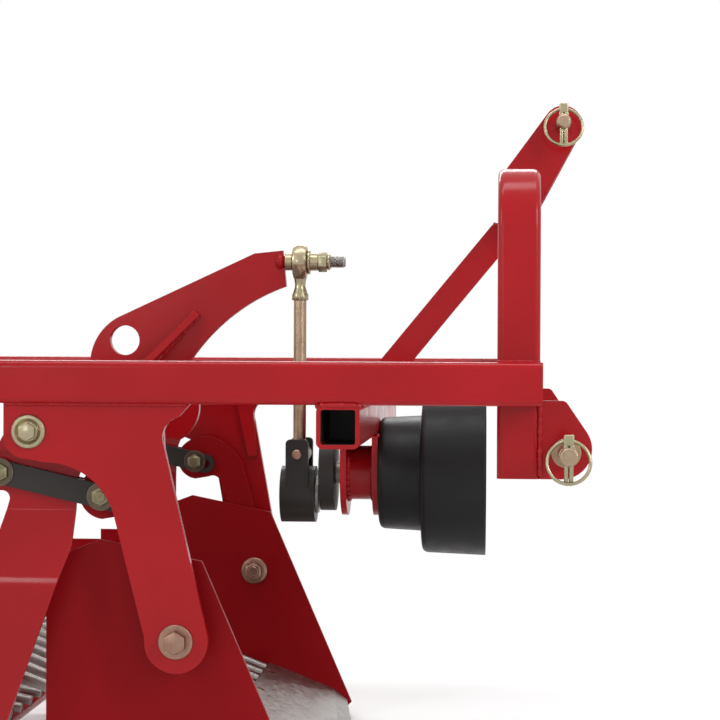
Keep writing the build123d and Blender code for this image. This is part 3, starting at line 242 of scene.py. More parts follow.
@dataclass(frozen=True)
class PaintFinish:
    """Sprayed paint on steel: patchy film, orange peel, sags and lighter edges, partly thin film and partly
    painted highlight.
    """

    name: str
    slot: str
    colour: RGB
    shade: RGB
    # edge: lighter colour on edges, partly thin paint film and partly painted highlight
    edge: RGB
    roughness: Point
    gloss: float
    peel: float = 0.12
    edge_radius: float = 0.0012
    patch_scale: float = 7.0
    peel_scale: float = 330.0
    peel_depth: float = 0.0004
    sag_scale: float = 38.0
    sag_depth: float = 0.0009
    sheen_scale: float = 24.0

    def material(self) -> bpy.types.Material:
        """Build the paint's material."""
        graph = FinishGraph(self.name, self.edge_radius)
        film = graph.mix(graph.span(graph.noise(self.patch_scale, 5.0), 0.0, 1.0), self.colour, self.shade)
        # lighter edges: thin film there and painted highlight
        film = graph.mix(graph.worn_and_lit_edges(0.25, 0.55), film, self.edge)
        peel = graph.bump(graph.noise(self.peel_scale, 2.0), self.peel_depth, self.peel, graph.rounded)
        sag = graph.bump(graph.noise(self.sag_scale, 2.0), self.sag_depth, self.peel, peel)
        sheen = graph.span(graph.noise(self.sheen_scale, 4.0), *self.roughness)
        graph.fill(graph.shader, {"Base Color": film, "Normal": sag, "Roughness": sheen,
                                  "Specular IOR Level": self.gloss})
        return graph.material


@dataclass(frozen=True)
class MetalFinish:
    """Bare or plated metal: two tints in patches, stains, fine marks and brighter edges, partly rubbed metal
    and partly painted highlight.
    """

    name: str
    slot: str
    colour: RGB
    tint: RGB
    stain: RGB
    # colour on edges: rubbed metal and painted highlight
    rubbed_and_lit: RGB
    roughness: Point
    marks: float = 0.25
    edge_radius: float = 0.0006
    patch_scale: float = 55.0
    stain_scale: float = 140.0
    mark_scale: float = 900.0
    mark_depth: float = 0.0002
    sheen_scale: float = 90.0

    def material(self) -> bpy.types.Material:
        """Build the metal's material."""
        graph = FinishGraph(self.name, self.edge_radius)
        tone = graph.mix(graph.span(graph.noise(self.patch_scale, 4.0), 0.0, 1.0), self.colour, self.tint)
        stains = graph.span(graph.noise(self.stain_scale, 5.0), 0.0, 0.6, 0.5, 0.75)
        tone = graph.mix(stains, tone, self.stain)
        # brighter edges: rubbed metal and painted highlight
        tone = graph.mix(graph.worn_and_lit_edges(0.3, 0.8), tone, self.rubbed_and_lit)
        marks = graph.bump(graph.noise(self.mark_scale, 3.0), self.mark_depth, self.marks, graph.rounded)
        sheen = graph.span(graph.noise(self.sheen_scale, 4.0), *self.roughness)
        graph.fill(graph.shader, {"Base Color": tone, "Normal": marks, "Roughness": sheen, "Metallic": 1.0})
        return graph.material


@dataclass(frozen=True)
class PlasticFinish:
    """Moulded plastic with a fine grain and a few paler scuffs."""

    name: str
    slot: str
    colour: RGB
    scuff: RGB
    roughness: Point
    gloss: float
    edge_radius: float = 0.0012
    scuff_scale: float = 34.0
    scuff_stretch: RGB = (0.35, 1, 1)
    grain: float = 0.18
    grain_scale: float = 1500.0
    grain_depth: float = 0.0002
    sheen_scale: float = 60.0

    def material(self) -> bpy.types.Material:
        """Build the plastic's material."""
        graph = FinishGraph(self.name, self.edge_radius)
        scuffs = graph.noise(self.scuff_scale, 6.0, self.scuff_stretch)
        tone = graph.mix(graph.span(scuffs, 0.0, 0.35, 0.5, 0.8), self.colour, self.scuff)
        grain = graph.bump(graph.noise(self.grain_scale, 2.0), self.grain_depth, self.grain, graph.rounded)
        sheen = graph.span(graph.noise(self.sheen_scale, 4.0), *self.roughness)
        graph.fill(graph.shader, {"Base Color": tone, "Normal": grain, "Roughness": sheen,
                                  "Specular IOR Level": self.gloss})
        return graph.material


class Finish(Enum):
    """Finishes on the machine; the first one of a slot is the plain one."""

    RED = PaintFinish("red_gloss_paint", "red_paint", (0.36, 0.006, 0.010), (0.31, 0.005, 0.008),
                      (0.50, 0.030, 0.036), (0.15, 0.26), 0.22)
    # Darker, glossier red for the sieve panels: the darker colour is painted shade; the lower roughness is
    # their glossier paint.
    SHADED_PANEL_RED = PaintFinish("red_panel_paint_painted_shade", "red_paint", (0.32, 0.0055, 0.009), (0.28, 0.005, 0.008),
                            (0.50, 0.030, 0.036), (0.09, 0.15), 0.22, 0.05)
    # Darker red for the share box: the dark colour is painted shade; its roughness and low gloss make it
    # matt.
    SHADED_SHARE_RED = PaintFinish("red_matt_paint_painted_shade", "red_paint", (0.25, 0.0042, 0.007), (0.21, 0.0036, 0.006),
                            (0.42, 0.030, 0.034), (0.30, 0.42), 0.08)
    BLACK = PaintFinish("black_satin_paint", "black_paint", (0.030, 0.025, 0.023), (0.023, 0.020, 0.018),
                        (0.06, 0.052, 0.046), (0.34, 0.46), 0.2, 0.2)
    GUARD = PlasticFinish("guard_plastic", "guard_plastic", (0.010, 0.010, 0.0105), (0.022, 0.022, 0.023),
                          (0.34, 0.46), 0.2)
    ZINC = MetalFinish("yellow_zinc", "zinc", (0.43, 0.35, 0.24), (0.34, 0.33, 0.20), (0.37, 0.23, 0.17),
                       (0.74, 0.65, 0.50), (0.24, 0.38))
    PIN = MetalFinish("turned_pin_steel", "zinc", (0.42, 0.31, 0.21), (0.34, 0.25, 0.17), (0.25, 0.16, 0.11),
                      (0.80, 0.70, 0.54), (0.32, 0.46), edge_radius=0.0012)
    # Olive zinc for the link and blade nuts: the olive tint is the plating's, its darkness is painted shade.
    OLIVE_SHADED_ZINC = MetalFinish("olive_zinc_painted_shade", "zinc", (0.22, 0.21, 0.12), (0.16, 0.14, 0.085), (0.18, 0.11, 0.075),
                        (0.70, 0.64, 0.50), (0.26, 0.40))
    BROWN = MetalFinish("brown_zinc", "zinc", (0.35, 0.21, 0.15), (0.28, 0.16, 0.12), (0.22, 0.11, 0.08),
                        (0.68, 0.57, 0.46), (0.30, 0.44))
    # Dark steel for the link washers: the darkness is painted shade from the leg plates above them.
    SHADED_WASHER_STEEL = MetalFinish("washer_steel_painted_shade", "zinc", (0.11, 0.085, 0.060), (0.085, 0.072, 0.050),
                        (0.070, 0.045, 0.032), (0.58, 0.51, 0.41), (0.34, 0.48), edge_radius=0.0009)
    STEEL = MetalFinish("bare_steel", "bare_steel", (0.36, 0.34, 0.32), (0.29, 0.27, 0.26),
                        (0.18, 0.15, 0.13), (0.6, 0.58, 0.55), (0.32, 0.48), 0.35)

    @property
    def slot(self) -> str:
        """Record slot that the finish stands for."""
        return self.value.slot


class Dresser:
    """Makes the materials once, dresses the CAD nodes and adds finished pieces."""

    def __init__(self, frame: dict) -> None:
        """Build the materials and note the record's slots."""
        self.nodes = frame["nodes"]
        self.materials = {finish: finish.value.material() for finish in Finish}
        self.by_slot = {finish.slot: finish for finish in reversed(Finish)}
        self.own = {node: Finish.PIN for node in ("hitch_pins", "top_link_pin", "connecting_rod")}
        share_box = ("share_panel_right", "share_panel_left", "share_levers")
        # the share box takes the darker red that paints in its shade
        self.own |= {node: Finish.SHADED_SHARE_RED for node in share_box}
        self.node_slots = {part["node"]: part["material_slot"] for part in frame["record"]["subparts"]}

    def dress_nodes(self) -> None:
        """Give every CAD node its own finish, or else the first one of its slot."""
        for name, node in self.nodes.items():
            node.data.materials.clear()
            finish = self.own.get(name, self.by_slot[self.node_slots[name]])
            node.data.materials.append(self.materials[finish])
        LOG.info("dressed %d CAD nodes", len(self.nodes))

    def add(self, name: str, bm: BMesh, body: str, finish: Finish, replaces: tuple[str, ...] = (),
            smooth: float = 35.0) -> None:
        """Turn a bmesh into a finished piece.

        Args:
            name: name of the piece.
            bm: its shape; freed here.
            body: body that it rides on.
            finish: its finish.
            replaces: CAD nodes that it stands for.
            smooth: largest angle in degrees that is shaded smooth.
        """
        bmesh.ops.remove_doubles(bm, verts=bm.verts, dist=MERGE)
        bmesh.ops.recalc_face_normals(bm, faces=bm.faces)
        mesh = bpy.data.meshes.new(name)
        bm.to_mesh(mesh)
        bm.free()
        mesh.shade_smooth()
        mesh.set_sharp_from_angle(angle=math.radians(smooth))
        mesh.materials.append(self.materials[finish])
        piece = bpy.data.objects.new(name, mesh)
        bpy.context.scene.collection.objects.link(piece)
        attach(piece, body)
        finish.slot
        if replaces:
            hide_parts(*replaces)
        LOG.info("piece %s on %s, %d faces", name, body, len(mesh.polygons))


def corners(node: str) -> tuple[Vector, Vector]:
    """Lowest and highest corner of a CAD node's box."""
    low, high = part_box(node)
    return Vector(low), Vector(high)


def middle(node: str) -> Vector:
    """Centre of a CAD node's box."""
    low, high = corners(node)
    return (low + high) / 2


def square_to(axis: Vector) -> Vector:
    """A direction at right angles to an axis."""
    return axis.orthogonal().normalized() if abs(axis.z) > 0.9 else axis.cross(Z_AXIS).normalized()


def turned(axis: Vector, centre: Vector) -> Matrix:
    """Place that turns local Z onto an axis at a centre."""
    return Matrix.Translation(centre) @ Z_AXIS.rotation_difference(axis).to_matrix().to_4x4()


def edges_of(made: dict[str, list]) -> Edges:
    """Edges of the shape that a bmesh operator has just made."""
    return list({edge for vert in made["verts"] for edge in vert.link_edges})


def round_edges(bm: BMesh, edges: Edges, radius: float, steps: int) -> None:
    """Round edges of a mesh by a radius, in steps."""
    bmesh.ops.bevel(bm, geom=edges, offset=radius, offset_type="OFFSET", segments=steps, profile=0.5,
                    affect="EDGES", material=-1, clamp_overlap=True)


def lathe(bm: BMesh, profile: Profile, centre: Vector, axis: Vector, steps: int = 48,
          closed: bool = False) -> None:
    """Spin a profile into a round solid.

    Args:
        bm: mesh to add to.
        profile: points as (radius, distance along the axis).
        centre: origin of the profile.
        axis: axis of the spin.
        steps: faces around.
        closed: whether the profile's end joins its start.
    """
    out = square_to(axis)
    verts = [bm.verts.new(centre + out * radius + axis * along) for radius, along in profile]
    edges = [bm.edges.new(pair) for pair in zip(verts, verts[1:])]
    if closed:
        edges.append(bm.edges.new((verts[-1], verts[0])))
    bmesh.ops.spin(bm, geom=verts + edges, cent=centre, axis=axis, dvec=(0, 0, 0), angle=math.tau,
                   steps=steps, use_merge=True, use_normal_flip=False, use_duplicate=False)


def hexagon(bm: BMesh, centre: Vector, axis: Vector, flats: float, length: float, edge: float,
            turn: float = 0.0) -> None:
    """Hex head or nut, standing on a centre along an axis and turned about it, with its edges broken."""
    place = turned(axis, centre + axis * length / 2) @ Matrix.Rotation(turn, 4, "Z")
    corner = flats / math.sqrt(3)
    made = bmesh.ops.create_cone(bm, cap_ends=True, cap_tris=False, segments=6, radius1=corner,
                                 radius2=corner, depth=length, matrix=place)
    round_edges(bm, edges_of(made), edge, 2)


def disc(bm: BMesh, centre: Vector, axis: Vector, radius: float, length: float, bore: float = 0.0,
         edge: float = 0.0006) -> None:
    """Washer, pin or collar standing on a centre along an axis, with its edges broken."""
    cut = min(edge, length / 3)
    outer = [(radius - cut, 0.0), (radius, cut), (radius, length - cut), (radius - cut, length)]
    lathe(bm, [(bore, 0.0), *outer, (bore, length)], centre, axis, closed=bore > 0.0)


def thread(bm: BMesh, centre: Vector, axis: Vector, radius: float, length: float) -> None:
    """Threaded end standing on a centre along an axis, with a chamfered tip."""
    root = radius - 0.6 * THREAD_PITCH
    tip = THREAD_PITCH / 2
    profile: Profile = [(0.0, 0.0), (root, 0.0)]
    for turn in range(int(length / THREAD_PITCH)):
        profile += [(radius, (turn + 0.5) * THREAD_PITCH), (root, (turn + 1) * THREAD_PITCH)]
    profile += [(root, length), (root - tip, length + tip), (0.0, length + tip)]
    lathe(bm, profile, centre, axis, 32)


def bead(bm: BMesh, start: Vector, end: Vector, radius: float = WELD) -> None:
    """Weld bead between two points, a rippled rod that wanders a little in width.

    Args:
        bm: mesh to add to.
        start: first point of the seam.
        end: last point of the seam.
        radius: half the bead's width.
    """
    run = end - start
    count = max(2, round(run.length / WELD_PITCH))
    step = run.length / count
    profile: Profile = [(0.0, 0.0)]
    for ripple in range(count):
        wander = 0.13 * math.sin(ripple * 2.4 + start.x * 90) + 0.08 * math.sin(ripple * 5.3)
        wide = radius * (1 + wander)
        profile += [(0.74 * wide, (ripple + 0.04) * step), (wide, (ripple + 0.5) * step)]
    profile += [(0.5 * radius, run.length), (0.0, run.length)]
    lathe(bm, profile, start, run.normalized(), 10)


def ring_bead(bm: BMesh, centre: Vector, axis: Vector, radius: float, half: float) -> None:
    """Weld around a round bar, laid as short beads end to end."""
    side = square_to(axis)
    other = axis.cross(side)
    count = max(12, round(math.tau * radius / (8 * MM)))
    angles = [math.tau * index / count for index in range(count)]
    points = [centre + (side * math.cos(angle) + other * math.sin(angle)) * radius for angle in angles]
    for first, second in zip(points, points[1:] + points[:1]):
        bead(bm, first, second, half)


def nut(bm: BMesh, face: Vector, axis: Vector, flats: float, height: float, end: float,
        washer: float = 0.0) -> None:
    """Nut on a bolt, standing on a face.

    Args:
        bm: mesh to add to.
        face: centre of the face.
        axis: direction away from the face.
        flats: width across the flats.
        height: height above the face, with the washer and the bolt's end.
        end: radius of the bolt's end that stands out of the nut.
        washer: radius of a flat washer under it, or 0.
    """
    sheet = WASHER_SHEET if washer else 0.0
    if washer:
        disc(bm, face, axis, washer, sheet, 4 * MM, THIN_EDGE)
    hexagon(bm, face + axis * sheet, axis, flats, height - sheet - BOLT_PROUD, NUT_EDGE)
    top = face + axis * (height - BOLT_PROUD - SEAT)
    disc(bm, top, axis, 0.42 * flats, 0.7 * MM, end, THIN_EDGE)
    disc(bm, top, axis, end, BOLT_PROUD + SEAT)


def dished_washer(bm: BMesh, face: Vector, axis: Vector, radius: float, height: float) -> None:
    """Large washer with a raised rim and a sunk middle."""
    rim = [(radius - 0.8 * MM, 0.0), (radius, 0.8 * MM), (radius, 0.45 * height),
           (radius - 1.2 * MM, 0.8 * height), (radius - 4.5 * MM, height), (radius - 8 * MM, 0.5 * height)]
    sunk = 0.35 * height
    lathe(bm, [(0.0, 0.0), *rim, (0.55 * radius, sunk), (0.0, sunk)], face, axis, 64)


def block(bm: BMesh, low: Vector, high: Vector, edge: float) -> None:
    """Square bar between two corners, with its edges rounded by a radius."""
    place = Matrix.Translation((low + high) / 2) @ Matrix.Diagonal((*(high - low), 1))
    made = bmesh.ops.create_cube(bm, size=1.0, matrix=place)
    round_edges(bm, edges_of(made), edge, 3)


@dataclass
class LinchpinSet:
    """Linchpins of the three hitch pins: folded strip with a slit down the shank under a square head."""

    shank: float = 0.0104
    shank_edge: float = 0.0016
    slit: float = 0.0007
    head_wide: float = 0.0116
    head_deep: float = 0.014
    head: float = 0.0125
    head_edge: float = 0.0012
    lug: float = 0.0042
    lug_gap: float = 0.0016
    lug_proud: float = 0.0004
    lug_edge: float = 0.0011
    foot: float = 0.0035
    foot_gap: float = 0.0008
    foot_edge: float = 0.0009
    splay: float = 0.0014

    def build(self, dresser: Dresser) -> None:
        """Build the three linchpins."""
        for name in ("top", "right", "left"):
            self.pin(dresser, name)

    def pin(self, dresser: Dresser, name: str) -> None:
        """Build one linchpin from its head, two halves of the shank, their lugs and their feet."""
        node = f"linchpin_{name}"
        low, high = corners(node)
        foot = Vector(((low.x + high.x) / 2, (low.y + high.y) / 2, low.z))
        length = high.z - low.z
        neck = length - self.head
        half = self.shank / 2
        wide, deep = self.head_wide / 2, self.head_deep / 2
        bm = bmesh.new()
        block(bm, foot + Vector((-wide, -deep, neck)), foot + Vector((wide, deep, length)), self.head_edge)
        bars = (
            (self.slit / 2, half, half, 0.0, neck + MM, self.shank_edge),
            (self.lug_gap, wide + self.lug_proud, deep, neck - self.lug, neck + MM, self.lug_edge),
            (self.foot_gap, half + self.splay, half, 0.0, self.foot, self.foot_edge),
        )
        for side in SIDES:
            for inner, outer, depth, bottom, top, edge in bars:
                near, far = sorted((side * inner, side * outer))
                block(bm, foot + Vector((near, -depth, bottom)), foot + Vector((far, depth, top)), edge)
        dresser.add(f"{node}_dressed", bm, f"pin_{name}", Finish.ZINC, (node,))


@dataclass
class DriveGuard:
    """Stepped plastic guard around the drive stub, with soft moulded corners."""

    small: float = 0.074
    taper: float = 0.003
    flare: float = 0.004
    step: float = 0.057
    wall: float = 0.003
    throat: float = 0.030
    corner: float = 0.009
    rim_edge: float = 0.0006

    def build(self, dresser: Dresser) -> None:
        """Build the guard as one spun shell."""
        low, high = corners("pto_guard")
        rear = Vector((low.x, 0.0, (low.z + high.z) / 2))
        bm = bmesh.new()
        lathe(bm, self.profile(high.x - low.x, (high.z - low.z) / 2), rear, X_AXIS, 96, closed=True)
        dresser.add("pto_guard_moulded", bm, "frame", Finish.GUARD, ("pto_guard",), 40.0)

    def profile(self, length: float, rim: float) -> Profile:
        """Section of the guard's wall, with its corners rounded.

        Args:
            length: length of the guard.
            rim: radius of its open end.

        Returns:
            Points as (radius, distance from the rear face).
        """
        wall, edge, step = self.wall, self.rim_edge, self.step
        large, shoulder = rim - self.flare, self.small + self.taper
        outer = [(self.throat, 0.0), (self.small, 0.0), (shoulder, step), (large, step), (rim, length)]
        inner = [(rim - wall, length), (large - wall, step + wall), (shoulder - wall, step + wall),
                 (self.small - wall, wall), (self.throat, wall)]
        soft, tight = self.corner, self.corner - wall
        return [outer[0], *self.rounded(outer, (soft, soft / 3, soft)),
                (rim - edge, length - edge), (rim - 2 * edge, length),
                inner[0], *self.rounded(inner, (tight, soft / 2, tight)), inner[-1]]

    @staticmethod
    def rounded(line: Profile, radii: tuple[float, ...], steps: int = 6) -> Profile:
        """Points that round the corners between a line's ends, each by its own radius."""
        points: Profile = []
        for before, corner, after, radius in zip(line, line[1:], line[2:], radii):
            tip = Vector(corner)
            start = tip + (Vector(before) - tip).normalized() * radius
            end = tip + (Vector(after) - tip).normalized() * radius
            for step in range(steps + 1):
                way = step / steps
                points.append(tuple(start * (1 - way) ** 2 + tip * 2 * way * (1 - way) + end * way ** 2))
        return points


@dataclass
class RodEnd:
    """Rod end on the connecting rod: crowned eye with a lip on each side, waisted neck and flared foot."""

    eye: float = 0.024
    width: float = 0.017
    crown_fall: float = 0.002
    seat: float = 0.0145
    lip: float = 0.0014
    lip_foot: Point = (0.0045, 0.0004)
    lip_crest: float = 0.0065
    waist: float = 0.0072
    waist_run: Point = (0.018, 0.022)
    flare: float = 0.0112
    flare_edge: float = 0.0008
    flare_top: float = 0.007
    slope: Point = (0.0095, 0.0145)
    ease: float = 0.0012
    swell: float = 0.0016
    neck_end: Point = (0.005, 0.003)

    def build(self, dresser: Dresser) -> None:
        """Build the housing around the ball."""
        ball = middle("rod_end_ball")
        foot = Vector((ball.x, ball.y, corners("rod_end_housing")[0].z))
        half, side = self.width / 2, self.eye - self.crown_fall
        flat = half * 0.45
        crown = [(side, -half), (self.eye, -flat), (self.eye, flat), (side, half)]
        inset, rise = self.lip_foot
        lip = [(self.eye - inset, half + rise), (self.eye - self.lip_crest, half + self.lip),
               (self.seat, half + self.lip)]
        back = [(radius, -along) for radius, along in reversed(lip)]
        bm = bmesh.new()
        lathe(bm, [*back, *crown, *lip], ball, X_AXIS, 64, closed=True)
        reach = ball.z - foot.z - self.seat
        neck = [(0.0, 0.0), (self.flare - self.flare_edge, 0.0), (self.flare, self.flare_edge),
                (self.flare, self.flare_top), (self.flare - self.ease, self.slope[0]),
                (self.waist + self.ease, self.slope[1]), (self.waist, self.waist_run[0]),
                (self.waist, self.waist_run[1]), (self.waist + self.swell, reach - self.neck_end[0]),
                (0.0, reach - self.neck_end[1])]
        lathe(bm, neck, foot, Z_AXIS, 40)
        dresser.add("rod_end_forged", bm, "rod", Finish.ZINC, ("rod_end_housing",), 50.0)


@dataclass
class StudHardware:
    """Stud of the rocker's nose: painted root, plated shoulder, washer, spacer, lock nut and bare thread.

    The washer and the spacer are given as radius and length.
    """

    stud: float = 0.008
    shoulder: float = 0.0115
    shoulder_length: float = 0.0095
    washer: Point = (0.0165, 0.003)
    spacer: Point = (0.0118, 0.011)
    flats: float = 0.024
    nut_height: float = 0.0115
    nut_edge: float = 0.0011
    nut_turn: float = 30.0
    collar: float = 0.0108
    collar_edge: float = 0.0016
    weld_rear: float = 0.002
    weld_short: float = 0.0005
    weld_edge: float = 0.0045

    def build(self, dresser: Dresser) -> None:
        """Build the stud's root, hardware and thread."""
        ball_low, ball_high = corners("rod_end_ball")
        stud_low, stud_high = corners("rocker_stud")
        nut_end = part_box("stud_nuts")[1][0]
        axis = Z_AXIS * (ball_low.z + ball_high.z) / 2
        shoulder = axis + X_AXIS * (ball_low.x - self.shoulder_length)
        self.root(dresser, axis + X_AXIS * stud_low.x, shoulder.x - stud_low.x)
        bm = bmesh.new()
        start = axis + X_AXIS * ball_high.x
        disc(bm, start, X_AXIS, *self.washer, self.stud)
        disc(bm, start + X_AXIS * self.washer[1], X_AXIS, *self.spacer, self.stud)
        disc(bm, shoulder, X_AXIS, self.shoulder, self.shoulder_length, self.stud)
        seat = start + X_AXIS * (self.washer[1] + self.spacer[1] + SEAT)
        hexagon(bm, seat, X_AXIS, self.flats, self.nut_height, self.nut_edge, math.radians(self.nut_turn))
        crest = seat + X_AXIS * (self.nut_height - SINK)
        disc(bm, crest, X_AXIS, self.collar, nut_end - crest.x, self.stud, self.collar_edge)
        dresser.add("stud_lock_nut", bm, "rocker", Finish.ZINC, ("stud_nuts",))
        bm = bmesh.new()
        rear = ball_low.x - MM
        disc(bm, axis + X_AXIS * rear, X_AXIS, self.stud - SINK, nut_end - rear)
        tip = THREAD_PITCH / 2
        thread(bm, axis + X_AXIS * nut_end, X_AXIS, self.stud, stud_high.x - nut_end - tip)
        dresser.add("rocker_stud_threaded", bm, "rocker", Finish.STEEL, ("rocker_stud",))

    def root(self, dresser: Dresser, rear: Vector, length: float) -> None:
        """Build the painted root in the thick weld that holds it in the arm.

        Args:
            dresser: maker of the pieces.
            rear: middle of the stud's rear end.
            length: distance from there to the shoulder.
        """
        bm = bmesh.new()
        disc(bm, rear, X_AXIS, self.stud, length + MM)
        weld = length + self.weld_rear - self.weld_short
        disc(bm, rear - X_AXIS * self.weld_rear, X_AXIS, self.shoulder, weld, 0.0, self.weld_edge)
        dresser.add("rocker_stud_root", bm, "rocker", Finish.RED)


@dataclass
class TubeLinings:
    """Black cups in both ends of the open cross tubes, closed off a hand's breadth in: painted shade for
    their dark insides.
    """

    inner: float = 0.0399
    depth: float = 0.11
    wall: float = 0.0004
    set_back: float = 0.0015

    def build(self, dresser: Dresser) -> None:
        """Build a square cup in both ends of each cross tube."""
        bm = bmesh.new()
        for node in CROSS_TUBES:
            centre = middle(node)
            reach = corners(node)[1].y - self.set_back
            for side in SIDES:
                self.cup(bm, Vector((centre.x, side * reach, centre.z)), Y_AXIS * -side)
        # black lining paints the shade inside the tube ends
        dresser.add("cross_tube_shade_linings", bm, "frame", Finish.BLACK, smooth=20.0)

    def cup(self, bm: BMesh, mouth: Vector, inward: Vector) -> None:
        """Build one square cup, from a mouth inwards."""
        corner = self.inner / math.sqrt(2)
        thin = corner - self.wall
        depth, floor = self.depth, self.depth - self.wall
        known = set(bm.verts)
        section = [(0.0, depth), (corner, depth), (corner, 0.0), (thin, 0.0), (thin, floor), (0.0, floor)]
        lathe(bm, section, mouth, inward, 4)
        made = [vert for vert in bm.verts if vert not in known]
        bmesh.ops.rotate(bm, verts=made, cent=mouth, matrix=Matrix.Rotation(math.radians(45), 3, inward))


@dataclass
class SievePanels:
    """Sieve's side panels, with a bend radius in place of the sharp lower fold."""

    bend: float = 0.0085
    steps: int = 12
    flat: float = 0.2
    fold: Point = (8.0, 30.0)
    crease: float = 10.0

    def build(self, dresser: Dresser) -> None:
        """Build both panels from merged copies of their CAD nodes."""
        for side in ("right", "left"):
            node = f"sieve_panel_{side}"
            bm = bmesh.new()
            bm.from_mesh(dresser.nodes[node].data)
            bmesh.ops.remove_doubles(bm, verts=bm.verts, dist=MERGE)
            flat = math.radians(self.flat)
            bmesh.ops.dissolve_limit(bm, angle_limit=flat, verts=bm.verts, edges=bm.edges)
            folds = [edge for edge in bm.edges if self.is_fold(edge)]
            level = sum(edge.verts[0].co.z for edge in folds) / len(folds)
            lower = [edge for edge in folds if edge.verts[0].co.z < level]
            round_edges(bm, lower, self.bend, self.steps)
            # panels take the darker red that paints in their shade
            dresser.add(f"{node}_bent", bm, "sieve", Finish.SHADED_PANEL_RED, (node,), self.crease)

    def is_fold(self, edge: bmesh.types.BMEdge) -> bool:
        """Whether an edge lies along the machine between two faces at a fold's angle."""
        if not edge.is_manifold:
            return False
        run = (edge.verts[1].co - edge.verts[0].co).normalized()
        least, most = self.fold
        return abs(run.x) > 0.999 and least < math.degrees(edge.calc_face_angle()) < most


@dataclass
class Fasteners:
    """Bolts, nuts and washers at the pivots, in the stacks that the frame leaves room for.

    The collar is a radius and a height; the rivet's head is points (wider than the bolt, below its end).
    """

    bolt: float = 0.006
    washer: float = 0.020
    dish: float = 0.004
    rocker_flats: float = 0.019
    rocker_edge: float = 0.0011
    collar: Point = (0.0112, 0.0036)
    collar_foot: float = 0.0012
    collar_edge: float = 0.0004
    link_flats: float = 0.0195
    link_washer: float = 0.0165
    link_end: float = 0.0066
    link_stack: float = 0.0175
    link_back: float = 0.0102
    link_ahead: float = 0.1199
    link_fall: float = 0.0275
    blade_tilt: float = 21.0
    blade_ahead: float = 0.024
    blade_height: float = 0.078
    blade_bolt: float = 0.007
    blade_bolt_ahead: float = 0.013
    blade_bolt_pitch: float = 0.13325
    blade_bolt_count: int = 5
    blade_grip: float = 0.040
    blade_nut: float = 0.0105
    blade_washer: float = 0.012
    share_bolt: float = 0.008
    share_flats: float = 0.024
    share_edge: float = 0.0014
    share_sheet: float = 0.003
    share_set: float = 0.0003
    share_nut_foot: float = 0.0024
    share_nut: float = 0.0136
    share_washer: float = 0.0145
    share_end: float = 0.0076
    leg: float = 0.010
    rivet_head: tuple[Point, ...] = ((0.0, 0.0046), (0.0006, 0.0044), (-0.0006, 0.0034))
    rivet_top: float = 0.0030

    def build(self, dresser: Dresser, joints: dict[str, Vector]) -> None:
        """Build every visible fastener.

        Args:
            dresser: maker of the pieces.
            joints: place of each hinge of the frame.
        """
        self.rocker_pivots(dresser, joints["rocker_swing"])
        rear = joints["link_swing"]
        bm, washers = bmesh.new(), bmesh.new()
        self.link_bolts(bm, washers, rear)
        dresser.add("link_rear_nuts", bm, "rocker", Finish.OLIVE_SHADED_ZINC, ("link_rear_bolts",))
        # washers dark for painted shade
        dresser.add("link_rear_washers", washers, "rocker", Finish.SHADED_WASHER_STEEL)
        bm, washers = bmesh.new(), bmesh.new()
        self.link_bolts(bm, washers, rear + Vector((self.link_ahead, 0.0, -self.link_fall)))
        self.blade_bolts(bm, joints["share_swing"])
        dresser.add("share_box_fasteners", bm, "share_box", Finish.OLIVE_SHADED_ZINC, ("share_box_bolts",))
        dresser.add("link_front_washers", washers, "share_box", Finish.SHADED_WASHER_STEEL)
        self.share_pivots(dresser, joints["share_swing"])
        self.clevis_rivet(dresser)

    def rocker_pivots(self, dresser: Dresser, place: Vector) -> None:
        """Build the dished washers and bolts in the ends of the rocker's cross shaft."""
        face = corners("rocker_shaft")[1].y
        reach = corners("rocker_pivot_bolts")[1].y - face
        foot = self.collar_foot + self.collar[1] - SINK
        bm = bmesh.new()
        for side in SIDES:
            axis = Y_AXIS * side
            seat = Vector((place.x, side * face, place.z))
            dished_washer(bm, seat, axis, self.washer, self.dish)
            disc(bm, seat + axis * self.collar_foot, axis, *self.collar, self.bolt, self.collar_edge)
            hexagon(bm, seat + axis * foot, axis, self.rocker_flats, reach - foot, self.rocker_edge)
        dresser.add("rocker_pivot_heads", bm, "rocker", Finish.ZINC, ("rocker_pivot_bolts",))

    def link_bolts(self, bm: BMesh, washers: BMesh, place: Vector) -> None:
        """Build the bolts at one end of the links.

        Args:
            bm: mesh of the nuts outside the links, the nuts inside and their shanks.
            washers: mesh of the washers under the nuts.
            place: middle of the bolts' axis.
        """
        outer = corners("links")[1].y + SEAT
        inner = corners("share_levers")[1].y - self.link_stack - SEAT
        head = corners("link_rear_bolts")[1].y
        sheet = WASHER_SHEET
        for side in SIDES:
            axis = Y_AXIS * side
            front = Vector((place.x, side * outer, place.z))
            back = Vector((place.x, side * inner, place.z))
            for face, way, height in ((front, axis, head - outer), (back, -axis, self.link_back)):
                disc(washers, face, way, self.link_washer, sheet, self.bolt, THIN_EDGE)
                nut(bm, face + way * sheet, way, self.link_flats, height - sheet, self.link_end)
            disc(bm, back, axis, self.bolt, outer - inner)

    def blade_bolts(self, bm: BMesh, pivot: Vector) -> None:
        """Build the flush bolts of the share's blade, with nuts under the carrier bar."""
        tilt = math.radians(self.blade_tilt)
        along = Vector((math.cos(tilt), 0.0, -math.sin(tilt)))
        up = Vector((math.sin(tilt), 0.0, math.cos(tilt)))
        row = Vector((pivot.x + self.blade_ahead, 0.0, self.blade_height)) + along * self.blade_bolt_ahead
        for index in range(self.blade_bolt_count):
            place = row + Y_AXIS * (index - (self.blade_bolt_count - 1) / 2) * self.blade_bolt_pitch
            under = place - up * self.blade_grip
            disc(bm, under, up, self.blade_bolt - SINK, self.blade_grip + SEAT)
            nut(bm, under, -up, self.link_flats, self.blade_nut, self.bolt, self.blade_washer)

